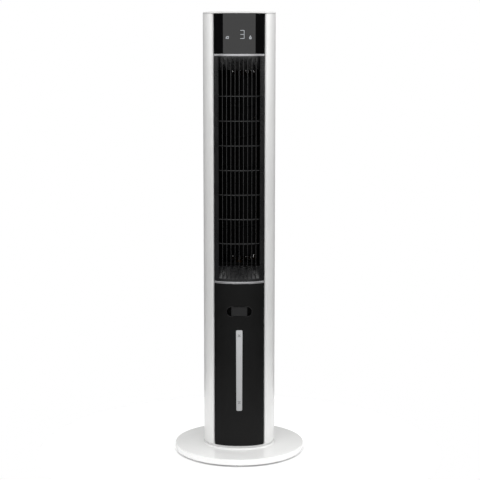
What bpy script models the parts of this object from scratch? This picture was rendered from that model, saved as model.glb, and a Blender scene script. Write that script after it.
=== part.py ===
"""Tower evaporative cooler, built from the separate pieces that it is put together from.

Units are metres and +Z is up. The front faces -Y and the origin is the centre of the
base on the floor. The column's plan is a superellipse, a square with soft corners.
"""
import math

import bmesh
import bpy
from mathutils import Matrix, Vector

# Fits shared by all pieces
GAP = 0.0003                  # between neighbours that touch on the real cooler
SLIDE_GAP = 0.0012            # beside the tank as it slides through its opening
PIN_GAP = 0.0003              # around a pin or shaft in its hole

# Stack of heights, from the floor up
FOOT_HEIGHT = 0.0045
BASE_HEIGHT = 0.0175
COLUMN_GAP = 0.0055           # shadow gap between the base and the column
TANK_FRONT_HEIGHT = 0.4035
TRIM_HEIGHT = 0.0055
GRILLE_HEIGHT = 0.5385
DISPLAY_HEIGHT = 0.0945
CAP_HEIGHT = 0.005

# Column plan
HALF_WIDTH = 0.0875
HALF_DEPTH = 0.078
SQUARENESS = 2.25
SHELL_WALL = 0.0025
INSERT_HALF_WIDTH = 0.0602    # half the opening between the two side shells
INSERT_SETBACK = 0.001        # front pieces sit this far inside the shells' outline
INSERT_WALL = 0.003
BEHIND_INSERT = 0.0005        # from the front pieces' inner face to what stands behind them

# Base and feet
BASE_RADIUS = 0.160
BASE_WALL = 0.003
BASE_EDGE_RADIUS = 0.003
PAN_WALL = 0.0025
FOOT_RADIUS = 0.009
FOOT_CIRCLE_RADIUS = 0.145
FOOT_COUNT = 8
PLINTH_WALL = 0.003
PLINTH_RISE = 0.004           # how far the plinth stands up inside the column

# Top cap and its controls
CAP_EDGE_RADIUS = 0.0028
PANEL_WIDTH = 0.112
PANEL_DEPTH = 0.028
PANEL_CENTRE_Y = -0.030
PANEL_CORNER = 0.006
PANEL_WALL = 0.0015
PANEL_SKIRT = 0.007
PANEL_SINK = 0.0008           # the inlay lies this far below the cap
BUTTON_COUNT = 5
BUTTON_PITCH = 0.020
BUTTON_RADIUS = 0.0045
BUTTON_FLANGE = 0.0011        # how far the flange stands out around the stem
BUTTON_FLANGE_HEIGHT = 0.001
BUTTON_TRAVEL = 0.001
BUTTON_PROUD = 0.0007
BOARD_WALL = 0.0016
MAIN_BOARD_WIDTH = 0.090
MAIN_BOARD_DEPTH = 0.050
MAIN_BOARD_CENTRE_Y = 0.030
MAIN_BOARD_RISE = 0.026       # above the display's bottom edge

# Display behind the front lens
DISPLAY_BOARD_HALF_WIDTH = 0.045
DISPLAY_BOARD_INSET = 0.0145
DISPLAY_BOARD_MARGIN = 0.009
DIGIT_WIDTH = 0.017
DIGIT_HEIGHT = 0.028
DIGIT_CENTRE_X = 0.007
DIGIT_CENTRE_DROP = 0.049     # below the display's top edge
DIGIT_BEHIND_LENS = 0.0015

# Front grille
FRAME_SIDE = 0.0104           # flat frame beside the air opening
FRAME_BOTTOM = 0.0065
FRAME_TOP = 0.0015
RAMP_TOP_DROP = 0.0315
RAMP_BOTTOM_RISE = 0.0316
RAMP_BACK_INSET = 0.032       # the ramps and the throat end this far behind the front
RAMP_WALL = 0.0028
THROAT_WALL = 0.002
FIN_PITCH = 0.010
FIN_COUNT = 11
FIN_WIDTH = 0.0019
FIN_BACK_INSET = 0.007
RIB_COUNT = 7
RIB_FIRST_DROP = 0.0937       # from the grille's top edge to the first rib
RIB_PITCH = 0.0588
RIB_HEIGHT = 0.0025
RIB_FRONT_INSET = 0.003

# Louvre vanes and what turns them
VANE_COUNT = 5
VANE_PITCH = 0.020
VANE_CHORD = 0.016
VANE_THICKNESS = 0.0016
VANE_AXIS_INSET = 0.024       # behind the column's foremost line
VANE_END_GAP = 0.0014
VANE_PIN_RADIUS = 0.0015
VANE_PIN_LENGTH = 0.016
CRANK_LENGTH = 0.012
CRANK_HEIGHT = 0.0025
CRANK_RISE = 0.003
CRANK_PIN_RADIUS = 0.0011
LINK_WIDTH = 0.004
LINK_HEIGHT = 0.003
LINK_END = 0.004
SWING_MOTOR_RADIUS = 0.014
SWING_MOTOR_HEIGHT = 0.019
SWING_MOTOR_OFFSET = 0.008    # the motor's body stands behind its shaft
SWING_MOTOR_RISE = 0.0215     # above the air opening's top edge
SWING_SOCKET_DEPTH = 0.013
SWING_PIN_DEPTH = 0.0104      # how far the middle vane's pin reaches into the motor

# Blower
BLOWER_AXIS_Y = 0.004
BLOWER_RADIUS = 0.040
BLOWER_DISC_COUNT = 7
BLOWER_DISC_THICKNESS = 0.002
BLOWER_RING_WIDTH = 0.012
BLOWER_BLADE_COUNT = 12
BLOWER_BLADE_DEPTH = 0.0095
BLOWER_BLADE_THICKNESS = 0.0012
BLOWER_BLADE_ANGLE = math.radians(38)
BLOWER_BLADE_INSET = 0.001    # of the blades from the discs' rim, before they are slanted
BLOWER_END_GAP = 0.0145       # from the wheel's end discs to the duct's plates
SHAFT_RADIUS = 0.003
SHAFT_GRIP = 0.010            # length of shaft inside a wheel's end disc
FAN_MOTOR_RADIUS = 0.028
FAN_MOTOR_HEIGHT = 0.038
FAN_MOTOR_SHAFT_DEPTH = 0.028
FAN_MOTOR_NECK_RADIUS = 0.0168
FAN_MOTOR_NECK_HEIGHT = 0.0057
BEARING_RADIUS = 0.010
BEARING_HEIGHT = 0.006
AXLE_TAIL = 0.0015

# Air duct and the roof of the tank bay
DUCT_HALF_WIDTH = 0.058
DUCT_FRONT_INSET = 0.038
DUCT_REAR_Y = 0.046
DUCT_WALL = 0.002
DUCT_PLATE = 0.003
DUCT_BEHIND_RAMP = 0.002      # the duct's plates lie this far outside the ramps' ends
SCROLL_POINTS = 7
SCROLL_TURN = math.radians(11)
SCROLL_GAP = 0.013            # from the wheel to the spiral wall at its front end
SCROLL_CLOSING = 0.0009       # how much nearer the spiral comes at each point
TONGUE_GAP = 0.005            # from the wheel to the cut-off wall
TONGUE_FRONT = 0.015          # the cut-off's edge, in front of the wheel's axis
TONGUE_REAR = 0.020           # where the cut-off meets the duct's side, behind the axis
ROOF_WALL = 0.003

# Rear: covers, intake grille, filter and pad
REAR_WALL = 0.003
REAR_UPPER_RISE = 0.0005      # the upper cover starts this far below the display's bottom
REAR_LOWER_TOP = 0.0055       # the lower cover ends this far above the lower trim
SLOT_ROWS = 22
SLOT_COLUMNS = 2
SLOT_HEIGHT = 0.010
SLOT_BAR = 0.006
SLOT_MARGIN = 0.009
SLOT_END_MARGIN = 0.032
FILTER_WALL = 0.0012
PAD_HALF_WIDTH = 0.0525
PAD_FRAME_WALL = 0.002
PAD_FRONT_Y = 0.0475
PAD_REAR_Y = 0.0585
PAD_TOP_DROP = 0.0245         # below the grille's top edge
PAD_BOTTOM_RISE = 0.0335      # above the grille's bottom edge
TROUGH_HEIGHT = 0.012
TROUGH_WALL = 0.0015
TROUGH_HOLES = 8
TROUGH_HOLE_RADIUS = 0.0012

# Tank and its drawer
TANK_WALL = 0.002
TANK_HEIGHT = 0.3133
TANK_REAR_Y = 0.058
TANK_CORNER = 0.006
WINDOW_WIDTH = 0.016
WINDOW_HEIGHT = 0.2015
WINDOW_RISE = 0.0887          # above the tank front's bottom edge
WINDOW_CORNER = 0.003
RECESS_WIDTH = 0.061
RECESS_HEIGHT = 0.024
RECESS_RISE = 0.3355          # centre above the tank front's bottom edge
CUP_WALL = 0.0015
CUP_DEPTH = 0.022
GRIP_WIDTH = 0.0385
GRIP_HEIGHT = 0.022
GRIP_WEB = 0.006
GRIP_WEB_HEIGHT = 0.0198

# Pump and pipes
PUMP_X = 0.032
PUMP_Y = 0.035
PUMP_HALF_WIDTH = 0.020
PUMP_HALF_DEPTH = 0.019
PUMP_HEIGHT = 0.040
PUMP_CAVITY_RADIUS = 0.013
PUMP_CAVITY_HEIGHT = 0.016
IMPELLER_RADIUS = 0.011
IMPELLER_HEIGHT = 0.009
IMPELLER_LIFT = 0.003
IMPELLER_BLADES = 6
IMPELLER_BLADE_THICKNESS = 0.0012
PIPE_RADIUS = 0.0045
PIPE_BEND = 0.008
PIPE_X = 0.040
PIPE_Y = 0.046
COUPLING_RISE = 0.025         # pipe coupling above the tank's rim
COUPLING_GAP = 0.0022         # between the two pipes' ends, where the seal sits
COUPLING_LENGTH = 0.002       # straight end of the riser at the coupling
RISER_SWING_Y = 0.003         # how far the riser passes behind the tank's rear wall
RISER_LEAD_Y = 0.008          # the riser comes in behind its upright from here
RISER_RUN = 0.048             # height over which it reaches its upright
RISER_TOP_BEND = 0.020
OUTLET_GAP = 0.002            # between the outlet and the trough's rim
OUTLET_REACH = 0.010          # how far the outlet reaches in over the trough
RISER_X = 0.069
RISER_Y = 0.028
RISER_HOLE_GAP = 0.002

# Cord inlet
GLAND_RISE = 0.045            # above the column's bottom edge
GLAND_HOLE_RADIUS = 0.006
GLAND_FLANGE = 0.003
GLAND_FLANGE_HEIGHT = 0.0025
CORD_HOLE_RADIUS = 0.0035

# Fineness of the facets
PLAN_POINTS = 48
ARC_STEPS = 10
SHELL_STEPS = 16
ROUND_STEPS = 12
BASE_STEPS = 40

# Heights that follow from the stack
BASE_TOP = FOOT_HEIGHT + BASE_HEIGHT
COLUMN_BOTTOM = BASE_TOP + COLUMN_GAP
LOWER_TRIM_Z = COLUMN_BOTTOM + TANK_FRONT_HEIGHT
GRILLE_BOTTOM = LOWER_TRIM_Z + TRIM_HEIGHT
GRILLE_TOP = GRILLE_BOTTOM + GRILLE_HEIGHT
DISPLAY_BOTTOM = GRILLE_TOP + TRIM_HEIGHT
COLUMN_TOP = DISPLAY_BOTTOM + DISPLAY_HEIGHT
CAP_TOP = COLUMN_TOP + CAP_HEIGHT

# Places that several pieces share
INNER_INSET = INSERT_SETBACK + INSERT_WALL + BEHIND_INSERT
PLINTH_TOP = COLUMN_BOTTOM + PLINTH_RISE
AIR_HALF_WIDTH = INSERT_HALF_WIDTH - GAP - FRAME_SIDE
AIR_BOTTOM = GRILLE_BOTTOM + FRAME_BOTTOM + RAMP_BOTTOM_RISE
AIR_TOP = GRILLE_TOP - FRAME_TOP - RAMP_TOP_DROP
RAMP_BACK_Y = -HALF_DEPTH + RAMP_BACK_INSET
VANE_AXIS_Y = -HALF_DEPTH + VANE_AXIS_INSET
VANE_BOTTOM = AIR_BOTTOM + VANE_END_GAP
VANE_TOP = AIR_TOP - VANE_END_GAP
CRANK_PIN_Y = VANE_AXIS_Y + CRANK_LENGTH
SWING_MOTOR_Z = AIR_TOP + SWING_MOTOR_RISE
DUCT_FLOOR = AIR_BOTTOM - DUCT_BEHIND_RAMP
DUCT_CEILING = AIR_TOP + DUCT_BEHIND_RAMP
DUCT_FRONT_Y = -HALF_DEPTH + DUCT_FRONT_INSET
WHEEL_BOTTOM = DUCT_FLOOR + BLOWER_END_GAP + BEARING_HEIGHT
WHEEL_TOP = DUCT_CEILING - BLOWER_END_GAP
INLAY_TOP = CAP_TOP - PANEL_SINK
TANK_BOTTOM = PLINTH_TOP + GAP
TANK_HALF_WIDTH = INSERT_HALF_WIDTH - SLIDE_GAP - GAP
RECESS_Z = COLUMN_BOTTOM + RECESS_RISE
WINDOW_BOTTOM = COLUMN_BOTTOM + WINDOW_RISE
PUMP_BOTTOM = TANK_BOTTOM + TANK_WALL + GAP
COUPLING_Z = TANK_BOTTOM + TANK_HEIGHT + COUPLING_RISE
REAR_LOWER_Z = GRILLE_BOTTOM + REAR_LOWER_TOP
REAR_UPPER_Z = DISPLAY_BOTTOM - REAR_UPPER_RISE
PAD_BOTTOM = GRILLE_BOTTOM + PAD_BOTTOM_RISE
PAD_TOP = GRILLE_TOP - PAD_TOP_DROP

# Finishes: colour, roughness, metallic
WHITE_ABS = ((0.80, 0.80, 0.81), 0.28, 0.0)
BLACK_ABS = ((0.020, 0.020, 0.021), 0.45, 0.0)
BLACK_GLOSS = ((0.006, 0.006, 0.007), 0.08, 0.0)
SILVER_FOIL = ((0.62, 0.62, 0.62), 0.30, 1.0)
GREY_PP = ((0.045, 0.045, 0.047), 0.55, 0.0)
CLEAR_PP = ((0.60, 0.62, 0.63), 0.25, 0.0)
RUBBER = ((0.55, 0.55, 0.55), 0.80, 0.0)
STEEL = ((0.55, 0.55, 0.56), 0.35, 1.0)
BRONZE = ((0.45, 0.30, 0.15), 0.45, 1.0)
CIRCUIT_BOARD = ((0.02, 0.12, 0.05), 0.50, 0.0)
CELLULOSE = ((0.35, 0.22, 0.10), 0.90, 0.0)
NYLON_MESH = ((0.10, 0.10, 0.11), 0.80, 0.0)


def clear_scene():
    """Removes the objects that a new file starts with."""
    for old in list(bpy.data.objects):
        bpy.data.objects.remove(old, do_unlink=True)


def add_piece(name, points, faces, finish, location=(0.0, 0.0, 0.0)):
    """Makes one object from points and faces, with its faces turned outwards."""
    mesh = bpy.data.meshes.new(name)
    mesh.from_pydata([tuple(point) for point in points], [], faces)
    work = bmesh.new()
    work.from_mesh(mesh)
    bmesh.ops.recalc_face_normals(work, faces=work.faces)
    work.to_mesh(mesh)
    work.free()
    piece = bpy.data.objects.new(name, mesh)
    piece.location = location
    bpy.context.collection.objects.link(piece)
    paint(piece, finish)
    return piece


def paint(piece, finish):
    """Gives a piece a material of its own."""
    colour, roughness, metallic = finish
    material = bpy.data.materials.new(piece.name)
    material.use_nodes = True
    shader = material.node_tree.nodes["Principled BSDF"]
    shader.inputs["Base Color"].default_value = (*colour, 1.0)
    shader.inputs["Roughness"].default_value = roughness
    shader.inputs["Metallic"].default_value = metallic
    piece.data.materials.clear()
    piece.data.materials.append(material)


def combine(piece, tool, operation, solver="EXACT"):
    """Joins a tool to a piece, cuts it away or keeps what they share."""
    step = piece.modifiers.new(operation.title(), "BOOLEAN")
    step.operation = operation
    step.solver = solver
    step.object = tool
    depsgraph = bpy.context.evaluated_depsgraph_get()
    shape = bpy.data.meshes.new_from_object(piece.evaluated_get(depsgraph))
    piece.modifiers.clear()
    piece.data = shape
    bpy.data.objects.remove(tool, do_unlink=True)
    return piece


def round_off(piece):
    """Shades a round piece smooth, with its real edges sharp."""
    piece.data.shade_smooth()
    piece.data.set_sharp_from_angle(angle=math.radians(35))
    return piece


def joint_empty(name, location):
    """Marks a joint's axis with an empty for its pieces to hang on."""
    empty = bpy.data.objects.new(name, None)
    empty.location = location
    bpy.context.collection.objects.link(empty)
    return empty


def hang_on(empty, pieces):
    """Parents pieces to an empty and leaves them where they are."""
    for piece in pieces:
        piece.parent = empty
        piece.matrix_parent_inverse = Matrix.Translation(empty.location).inverted()


def loft(name, rings, finish, location=(0.0, 0.0, 0.0)):
    """Joins rings of equally many points and closes both ends."""
    count = len(rings[0])
    points = [point for ring in rings for point in ring]
    faces = [list(range(count))]
    for step in range(len(rings) - 1):
        low = step * count
        high = low + count
        for i in range(count):
            j = (i + 1) % count
            faces.append((low + i, low + j, high + j, high + i))
    last = (len(rings) - 1) * count
    faces.append(list(range(last, last + count)))
    return add_piece(name, points, faces, finish, location)


def prism(name, outline, bottom, top, finish, location=(0.0, 0.0, 0.0)):
    """Raises a plan outline from one height to another."""
    rings = [[(x, y, z) for x, y in outline] for z in (bottom, top)]
    return loft(name, rings, finish, location)


def slab(name, outline, front, back, finish):
    """Extrudes an outline drawn in X and Z along Y."""
    rings = [[(x, y, z) for x, z in outline] for y in (front, back)]
    return loft(name, rings, finish)


def blocks(name, boxes, finish, location=(0.0, 0.0, 0.0)):
    """Makes one object of separate boxes, each given by its two corners."""
    points = []
    faces = []
    sides = ((0, 1, 3, 2), (4, 6, 7, 5), (0, 4, 5, 1), (2, 3, 7, 6), (0, 2, 6, 4), (1, 5, 7, 3))
    for low, high in boxes:
        first = len(points)
        corners = [(x, y, z) for x in (low[0], high[0]) for y in (low[1], high[1])
                   for z in (low[2], high[2])]
        points.extend(corners)
        faces.extend([first + i for i in side] for side in sides)
    return add_piece(name, points, faces, finish, location)


def rods(name, centres, radius, bottom, top, finish, steps=ROUND_STEPS, location=(0.0, 0.0, 0.0)):
    """Makes one object of separate upright rods, one at each centre."""
    points = []
    faces = []
    for centre_x, centre_y in centres:
        first = len(points)
        for z in (bottom, top):
            for i in range(steps):
                turn = 2 * math.pi * (i + 0.5) / steps
                points.append((centre_x + radius * math.cos(turn),
                               centre_y + radius * math.sin(turn), z))
        faces.append([first + i for i in range(steps)])
        faces.append([first + steps + i for i in range(steps)])
        for i in range(steps):
            j = (i + 1) % steps
            faces.append((first + i, first + j, first + steps + j, first + steps + i))
    return add_piece(name, points, faces, finish, location)


def turned(name, profile, finish, steps=ROUND_STEPS, location=(0.0, 0.0, 0.0)):
    """Turns a closed profile of radius and height about the Z axis."""
    points = []
    rings = []
    for radius, z in profile:
        first = len(points)
        if radius == 0.0:
            points.append((0.0, 0.0, z))
            rings.append([first] * steps)
            continue
        for i in range(steps):
            turn = 2 * math.pi * (i + 0.5) / steps
            points.append((radius * math.cos(turn), radius * math.sin(turn), z))
        rings.append(list(range(first, first + steps)))
    faces = []
    for a, b in zip(rings, rings[1:] + rings[:1]):
        for i in range(steps):
            j = (i + 1) % steps
            corners = []
            for corner in (a[i], a[j], b[j], b[i]):
                if corner not in corners:
                    corners.append(corner)
            if len(corners) > 2:
                faces.append(corners)
    return round_off(add_piece(name, points, faces, finish, location))


def rounded_rectangle(centre, width, height, corner, steps=4):
    """Gives the outline of a rectangle with round corners."""
    outline = []
    for quarter in range(4):
        side_x = 1 if quarter in (0, 3) else -1
        side_y = 1 if quarter in (0, 1) else -1
        middle_x = centre[0] + side_x * (width / 2 - corner)
        middle_y = centre[1] + side_y * (height / 2 - corner)
        for i in range(steps + 1):
            turn = (quarter + i / steps) * math.pi / 2
            outline.append((middle_x + corner * math.cos(turn), middle_y + corner * math.sin(turn)))
    return outline


def pill(centre, width, height, steps=8):
    """Gives the outline of a slot with fully round ends."""
    outline = []
    radius = height / 2
    for side in (1, -1):
        middle = centre[0] + side * (width / 2 - radius)
        for i in range(steps + 1):
            turn = -math.pi / 2 + math.pi * i / steps
            outline.append((middle + side * radius * math.cos(turn),
                            centre[1] + side * radius * math.sin(turn)))
    return outline


def plan(inset, steps=PLAN_POINTS):
    """Gives the column's plan outline, drawn in by an inset."""
    outline = []
    power = 2 / SQUARENESS
    for i in range(steps):
        turn = 2 * math.pi * (i + 0.5) / steps
        across = math.cos(turn)
        along = math.sin(turn)
        outline.append((math.copysign(abs(across) ** power, across) * (HALF_WIDTH - inset),
                        math.copysign(abs(along) ** power, along) * (HALF_DEPTH - inset)))
    return outline


def depth_at(x, inset):
    """Gives how far the plan, drawn in by an inset, reaches in Y at one X."""
    share = abs(x) / (HALF_WIDTH - inset)
    return (HALF_DEPTH - inset) * (1 - share ** SQUARENESS) ** (1 / SQUARENESS)


def steps_between(low, high, steps=ARC_STEPS):
    """Gives evenly spaced values from low to high."""
    return [low + (high - low) * i / steps for i in range(steps + 1)]


def curved_bar(name, half_width, insets, heights, finish, side=-1, steps=ARC_STEPS):
    """Makes a bar that follows the front (side -1) or the rear (side 1) of the plan."""
    rings = []
    for x in steps_between(-half_width, half_width, steps):
        outer = side * depth_at(x, insets[0])
        inner = side * depth_at(x, insets[1])
        rings.append([(x, outer, heights[0]), (x, inner, heights[0]),
                      (x, inner, heights[1]), (x, outer, heights[1])])
    return loft(name, rings, finish)


def pipe(name, route, finish, radius=PIPE_RADIUS):
    """Makes a round pipe along a smooth curve through the route's points."""
    points = smooth_route(route)
    curve = bpy.data.curves.new(name, "CURVE")
    curve.dimensions = "3D"
    curve.bevel_depth = radius
    curve.bevel_resolution = 2
    curve.use_fill_caps = True
    spline = curve.splines.new("POLY")
    spline.points.add(len(points) - 1)
    for place, point in zip(spline.points, points):
        place.co = (*point, 1.0)
    piece = bpy.data.objects.new(name, curve)
    bpy.context.collection.objects.link(piece)
    paint(piece, finish)
    return piece


def smooth_route(route, steps=3):
    """Reads points from a smooth curve that passes through every route point."""
    knots = [Vector(point) for point in route]
    knots = [2 * knots[0] - knots[1]] + knots + [2 * knots[-1] - knots[-2]]
    points = []
    for i in range(1, len(knots) - 2):
        before, start, end, after = knots[i - 1:i + 3]
        length = (end - start).length
        lead_in = (end - before).normalized() * length
        lead_out = (after - start).normalized() * length
        for step in range(steps):
            t = step / steps
            points.append(start * (2 * t ** 3 - 3 * t ** 2 + 1) + lead_in * (t ** 3 - 2 * t ** 2 + t)
                          + end * (3 * t ** 2 - 2 * t ** 3) + lead_out * (t ** 3 - t ** 2))
    points.append(knots[-2])
    return points


# Base and feet

def base_cover():
    """White moulded dish with a soft edge, open underneath."""
    edge = BASE_EDGE_RADIUS
    profile = [(0.0, BASE_TOP)]
    for i in range(5):
        turn = math.pi / 2 * (1 - i / 4)
        profile.append((BASE_RADIUS - edge + edge * math.cos(turn),
                        BASE_TOP - edge + edge * math.sin(turn)))
    inner = BASE_RADIUS - BASE_WALL
    profile += [(BASE_RADIUS, FOOT_HEIGHT), (inner, FOOT_HEIGHT),
                (inner, BASE_TOP - BASE_WALL), (0.0, BASE_TOP - BASE_WALL)]
    turned("base_cover", profile, WHITE_ABS, BASE_STEPS)


def base_pan():
    """Black plate that closes the base from below."""
    radius = BASE_RADIUS - BASE_WALL - GAP
    profile = [(0.0, FOOT_HEIGHT), (radius, FOOT_HEIGHT),
               (radius, FOOT_HEIGHT + PAN_WALL), (0.0, FOOT_HEIGHT + PAN_WALL)]
    turned("base_pan", profile, BLACK_ABS, BASE_STEPS)


def feet():
    """Rubber feet in a ring, one of them at the front."""
    top = FOOT_HEIGHT - GAP
    edge = FOOT_HEIGHT / 4
    profile = [(0.0, 0.0), (FOOT_RADIUS - edge, 0.0), (FOOT_RADIUS, edge), (FOOT_RADIUS, top), (0.0, top)]
    for i in range(FOOT_COUNT):
        turn = -math.pi / 2 + 2 * math.pi * i / FOOT_COUNT
        place = (FOOT_CIRCLE_RADIUS * math.cos(turn), FOOT_CIRCLE_RADIUS * math.sin(turn), 0.0)
        turned(f"foot_{i + 1}", profile, RUBBER, location=place)


def column_plinth():
    """White floor of the column, which stands on the base and leaves a shadow gap."""
    bottom = BASE_TOP + GAP
    plinth = prism("column_plinth", plan(INNER_INSET), bottom, PLINTH_TOP, WHITE_ABS)
    hollow = prism("plinth_hollow", plan(INNER_INSET + PLINTH_WALL), bottom - PLINTH_WALL,
                   PLINTH_TOP - PLINTH_WALL, WHITE_ABS)
    combine(plinth, hollow, "DIFFERENCE")


# Shells, covers and cap

def shell_edge(inset):
    """Gives one side of the plan, from the front opening round to the rear one."""
    width = HALF_WIDTH - inset
    depth = HALF_DEPTH - inset
    limit = math.acos((INSERT_HALF_WIDTH / width) ** (SQUARENESS / 2))
    power = 2 / SQUARENESS
    edge = []
    for turn in steps_between(-limit, limit, SHELL_STEPS):
        along = math.sin(turn)
        edge.append((width * math.cos(turn) ** power, depth * math.copysign(abs(along) ** power, along)))
    return edge


def side_shells():
    """White side shells, which wrap from the front insert round to the rear covers."""
    outline = shell_edge(0.0) + shell_edge(SHELL_WALL)[::-1]
    for name, side in (("shell_right", 1), ("shell_left", -1)):
        mirrored = [(side * x, y) for x, y in outline]
        round_off(prism(name, mirrored, COLUMN_BOTTOM, COLUMN_TOP - GAP, WHITE_ABS))


def rear_covers():
    """White rear covers below and above the intake grille."""
    half_width = INSERT_HALF_WIDTH - GAP
    insets = (0.0, REAR_WALL)
    lower = curved_bar("rear_lower_cover", half_width, insets,
                       (COLUMN_BOTTOM, REAR_LOWER_Z - GAP), WHITE_ABS, side=1)
    gland_z = COLUMN_BOTTOM + GLAND_RISE
    hole = rods("gland_hole", [(0.0, 0.0)], GLAND_HOLE_RADIUS + GAP, 0.0, 2 * HALF_DEPTH, WHITE_ABS)
    hole.matrix_world = Matrix.Translation((0.0, 0.0, gland_z)) @ Matrix.Rotation(-math.pi / 2, 4, "X")
    combine(lower, hole, "DIFFERENCE")
    curved_bar("rear_upper_cover", half_width, insets, (REAR_UPPER_Z, COLUMN_TOP - GAP), WHITE_ABS, side=1)


def inlet_gland():
    """Black gland that the supply cord would pass through."""
    hole = CORD_HOLE_RADIUS
    outer = GLAND_HOLE_RADIUS
    start = HALF_DEPTH - 2 * REAR_WALL
    end = HALF_DEPTH + GLAND_FLANGE_HEIGHT
    profile = [(hole, start), (outer, start), (outer, HALF_DEPTH + GAP),
               (outer + GLAND_FLANGE, HALF_DEPTH + GAP), (outer + GLAND_FLANGE, end), (hole, end)]
    gland = turned("inlet_gland", profile, BLACK_ABS)
    gland.location = (0.0, 0.0, COLUMN_BOTTOM + GLAND_RISE)
    gland.rotation_euler = (-math.pi / 2, 0.0, 0.0)


def panel_outline(inset):
    """Gives the outline of the control inlay, drawn in by an inset."""
    return rounded_rectangle((0.0, PANEL_CENTRE_Y), PANEL_WIDTH - 2 * inset, PANEL_DEPTH - 2 * inset,
                             PANEL_CORNER - inset)


def top_cap():
    """White cap with a soft edge and an opening for the control inlay."""
    edge = CAP_EDGE_RADIUS
    levels = [(0.0, COLUMN_TOP)]
    for i in range(4):
        turn = math.pi / 2 * i / 3
        levels.append((edge * (1 - math.cos(turn)), CAP_TOP - edge + edge * math.sin(turn)))
    rings = [[(x, y, z) for x, y in plan(inset)] for inset, z in levels]
    cap = loft("top_cap", rings, WHITE_ABS)
    opening = prism("cap_opening", panel_outline(0.0), COLUMN_TOP - CAP_HEIGHT, CAP_TOP + CAP_HEIGHT,
                    WHITE_ABS)
    round_off(combine(cap, opening, "DIFFERENCE"))


def button_places():
    """Gives the plan position of each button."""
    first = -(BUTTON_COUNT - 1) / 2
    return [((first + i) * BUTTON_PITCH, PANEL_CENTRE_Y) for i in range(BUTTON_COUNT)]


def control_panel():
    """Black inlay with a skirt that holds the buttons' board."""
    bottom = INLAY_TOP - PANEL_SKIRT
    panel = prism("control_panel", panel_outline(GAP), bottom, INLAY_TOP, BLACK_GLOSS)
    hollow = prism("panel_hollow", panel_outline(GAP + PANEL_WALL), bottom - PANEL_WALL,
                   INLAY_TOP - PANEL_WALL, BLACK_GLOSS)
    combine(panel, hollow, "DIFFERENCE")
    holes = rods("panel_holes", button_places(), BUTTON_RADIUS + PIN_GAP, bottom, CAP_TOP, BLACK_GLOSS)
    combine(panel, holes, "DIFFERENCE")


def buttons():
    """Push buttons, each held under the inlay by its flange."""
    top = INLAY_TOP + BUTTON_PROUD
    shoulder = INLAY_TOP - PANEL_WALL - GAP
    flange = BUTTON_RADIUS + BUTTON_FLANGE
    bottom = shoulder - BUTTON_FLANGE_HEIGHT
    profile = [(0.0, top), (BUTTON_RADIUS, top), (BUTTON_RADIUS, shoulder), (flange, shoulder),
               (flange, bottom), (0.0, bottom)]
    local = [(radius, z - top) for radius, z in profile]
    for i, (x, y) in enumerate(button_places()):
        turned(f"button_{i + 1}", local, BLACK_ABS, location=(x, y, top))


def button_board():
    """Circuit board under the buttons."""
    top = INLAY_TOP - PANEL_WALL - GAP - BUTTON_FLANGE_HEIGHT - BUTTON_TRAVEL - GAP
    prism("button_board", panel_outline(2 * GAP + PANEL_WALL), top - BOARD_WALL, top, CIRCUIT_BOARD)


# Front: display, trims and grille

def display():
    """Glossy lens, with the board and the digit module behind it."""
    half_width = INSERT_HALF_WIDTH - GAP
    lens_inset = INSERT_SETBACK + INSERT_WALL
    round_off(curved_bar("display_lens", half_width, (INSERT_SETBACK, lens_inset),
                         (DISPLAY_BOTTOM + GAP, COLUMN_TOP - GAP), BLACK_GLOSS))
    board_y = -HALF_DEPTH + DISPLAY_BOARD_INSET
    board_low = DISPLAY_BOTTOM + DISPLAY_BOARD_MARGIN
    board_high = COLUMN_TOP - DISPLAY_BOARD_MARGIN
    blocks("display_board", [((-DISPLAY_BOARD_HALF_WIDTH, board_y, board_low),
                              (DISPLAY_BOARD_HALF_WIDTH, board_y + BOARD_WALL, board_high))], CIRCUIT_BOARD)
    centre_z = COLUMN_TOP - DIGIT_CENTRE_DROP
    edge_x = abs(DIGIT_CENTRE_X) + DIGIT_WIDTH / 2
    front = -depth_at(edge_x, lens_inset) + DIGIT_BEHIND_LENS
    blocks("digit_module", [((DIGIT_CENTRE_X - DIGIT_WIDTH / 2, front, centre_z - DIGIT_HEIGHT / 2),
                             (DIGIT_CENTRE_X + DIGIT_WIDTH / 2, board_y - GAP, centre_z + DIGIT_HEIGHT / 2))],
           BLACK_ABS)


def trims():
    """Silver strips above and below the grille."""
    half_width = INSERT_HALF_WIDTH - GAP
    insets = (INSERT_SETBACK / 2, INSERT_SETBACK + INSERT_WALL)
    for name, bottom in (("lower_trim", LOWER_TRIM_Z), ("upper_trim", GRILLE_TOP)):
        curved_bar(name, half_width, insets, (bottom + GAP / 2, bottom + TRIM_HEIGHT - GAP / 2), SILVER_FOIL)


def grille_ramp(name, front_z, back_z, wall):
    """Makes a sloping floor or roof from the curved front to the straight throat edge."""
    half_width = AIR_HALF_WIDTH + THROAT_WALL / 2
    rings = []
    for x in steps_between(-half_width, half_width):
        front = -depth_at(x, INSERT_SETBACK + INSERT_WALL / 2)
        rings.append([(x, front, front_z), (x, RAMP_BACK_Y, back_z),
                      (x, RAMP_BACK_Y, back_z + wall), (x, front, front_z + wall)])
    return loft(name, rings, BLACK_ABS)


def vane_places():
    """Gives the X position of each vane."""
    first = -(VANE_COUNT - 1) / 2
    return [(first + i) * VANE_PITCH for i in range(VANE_COUNT)]


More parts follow.
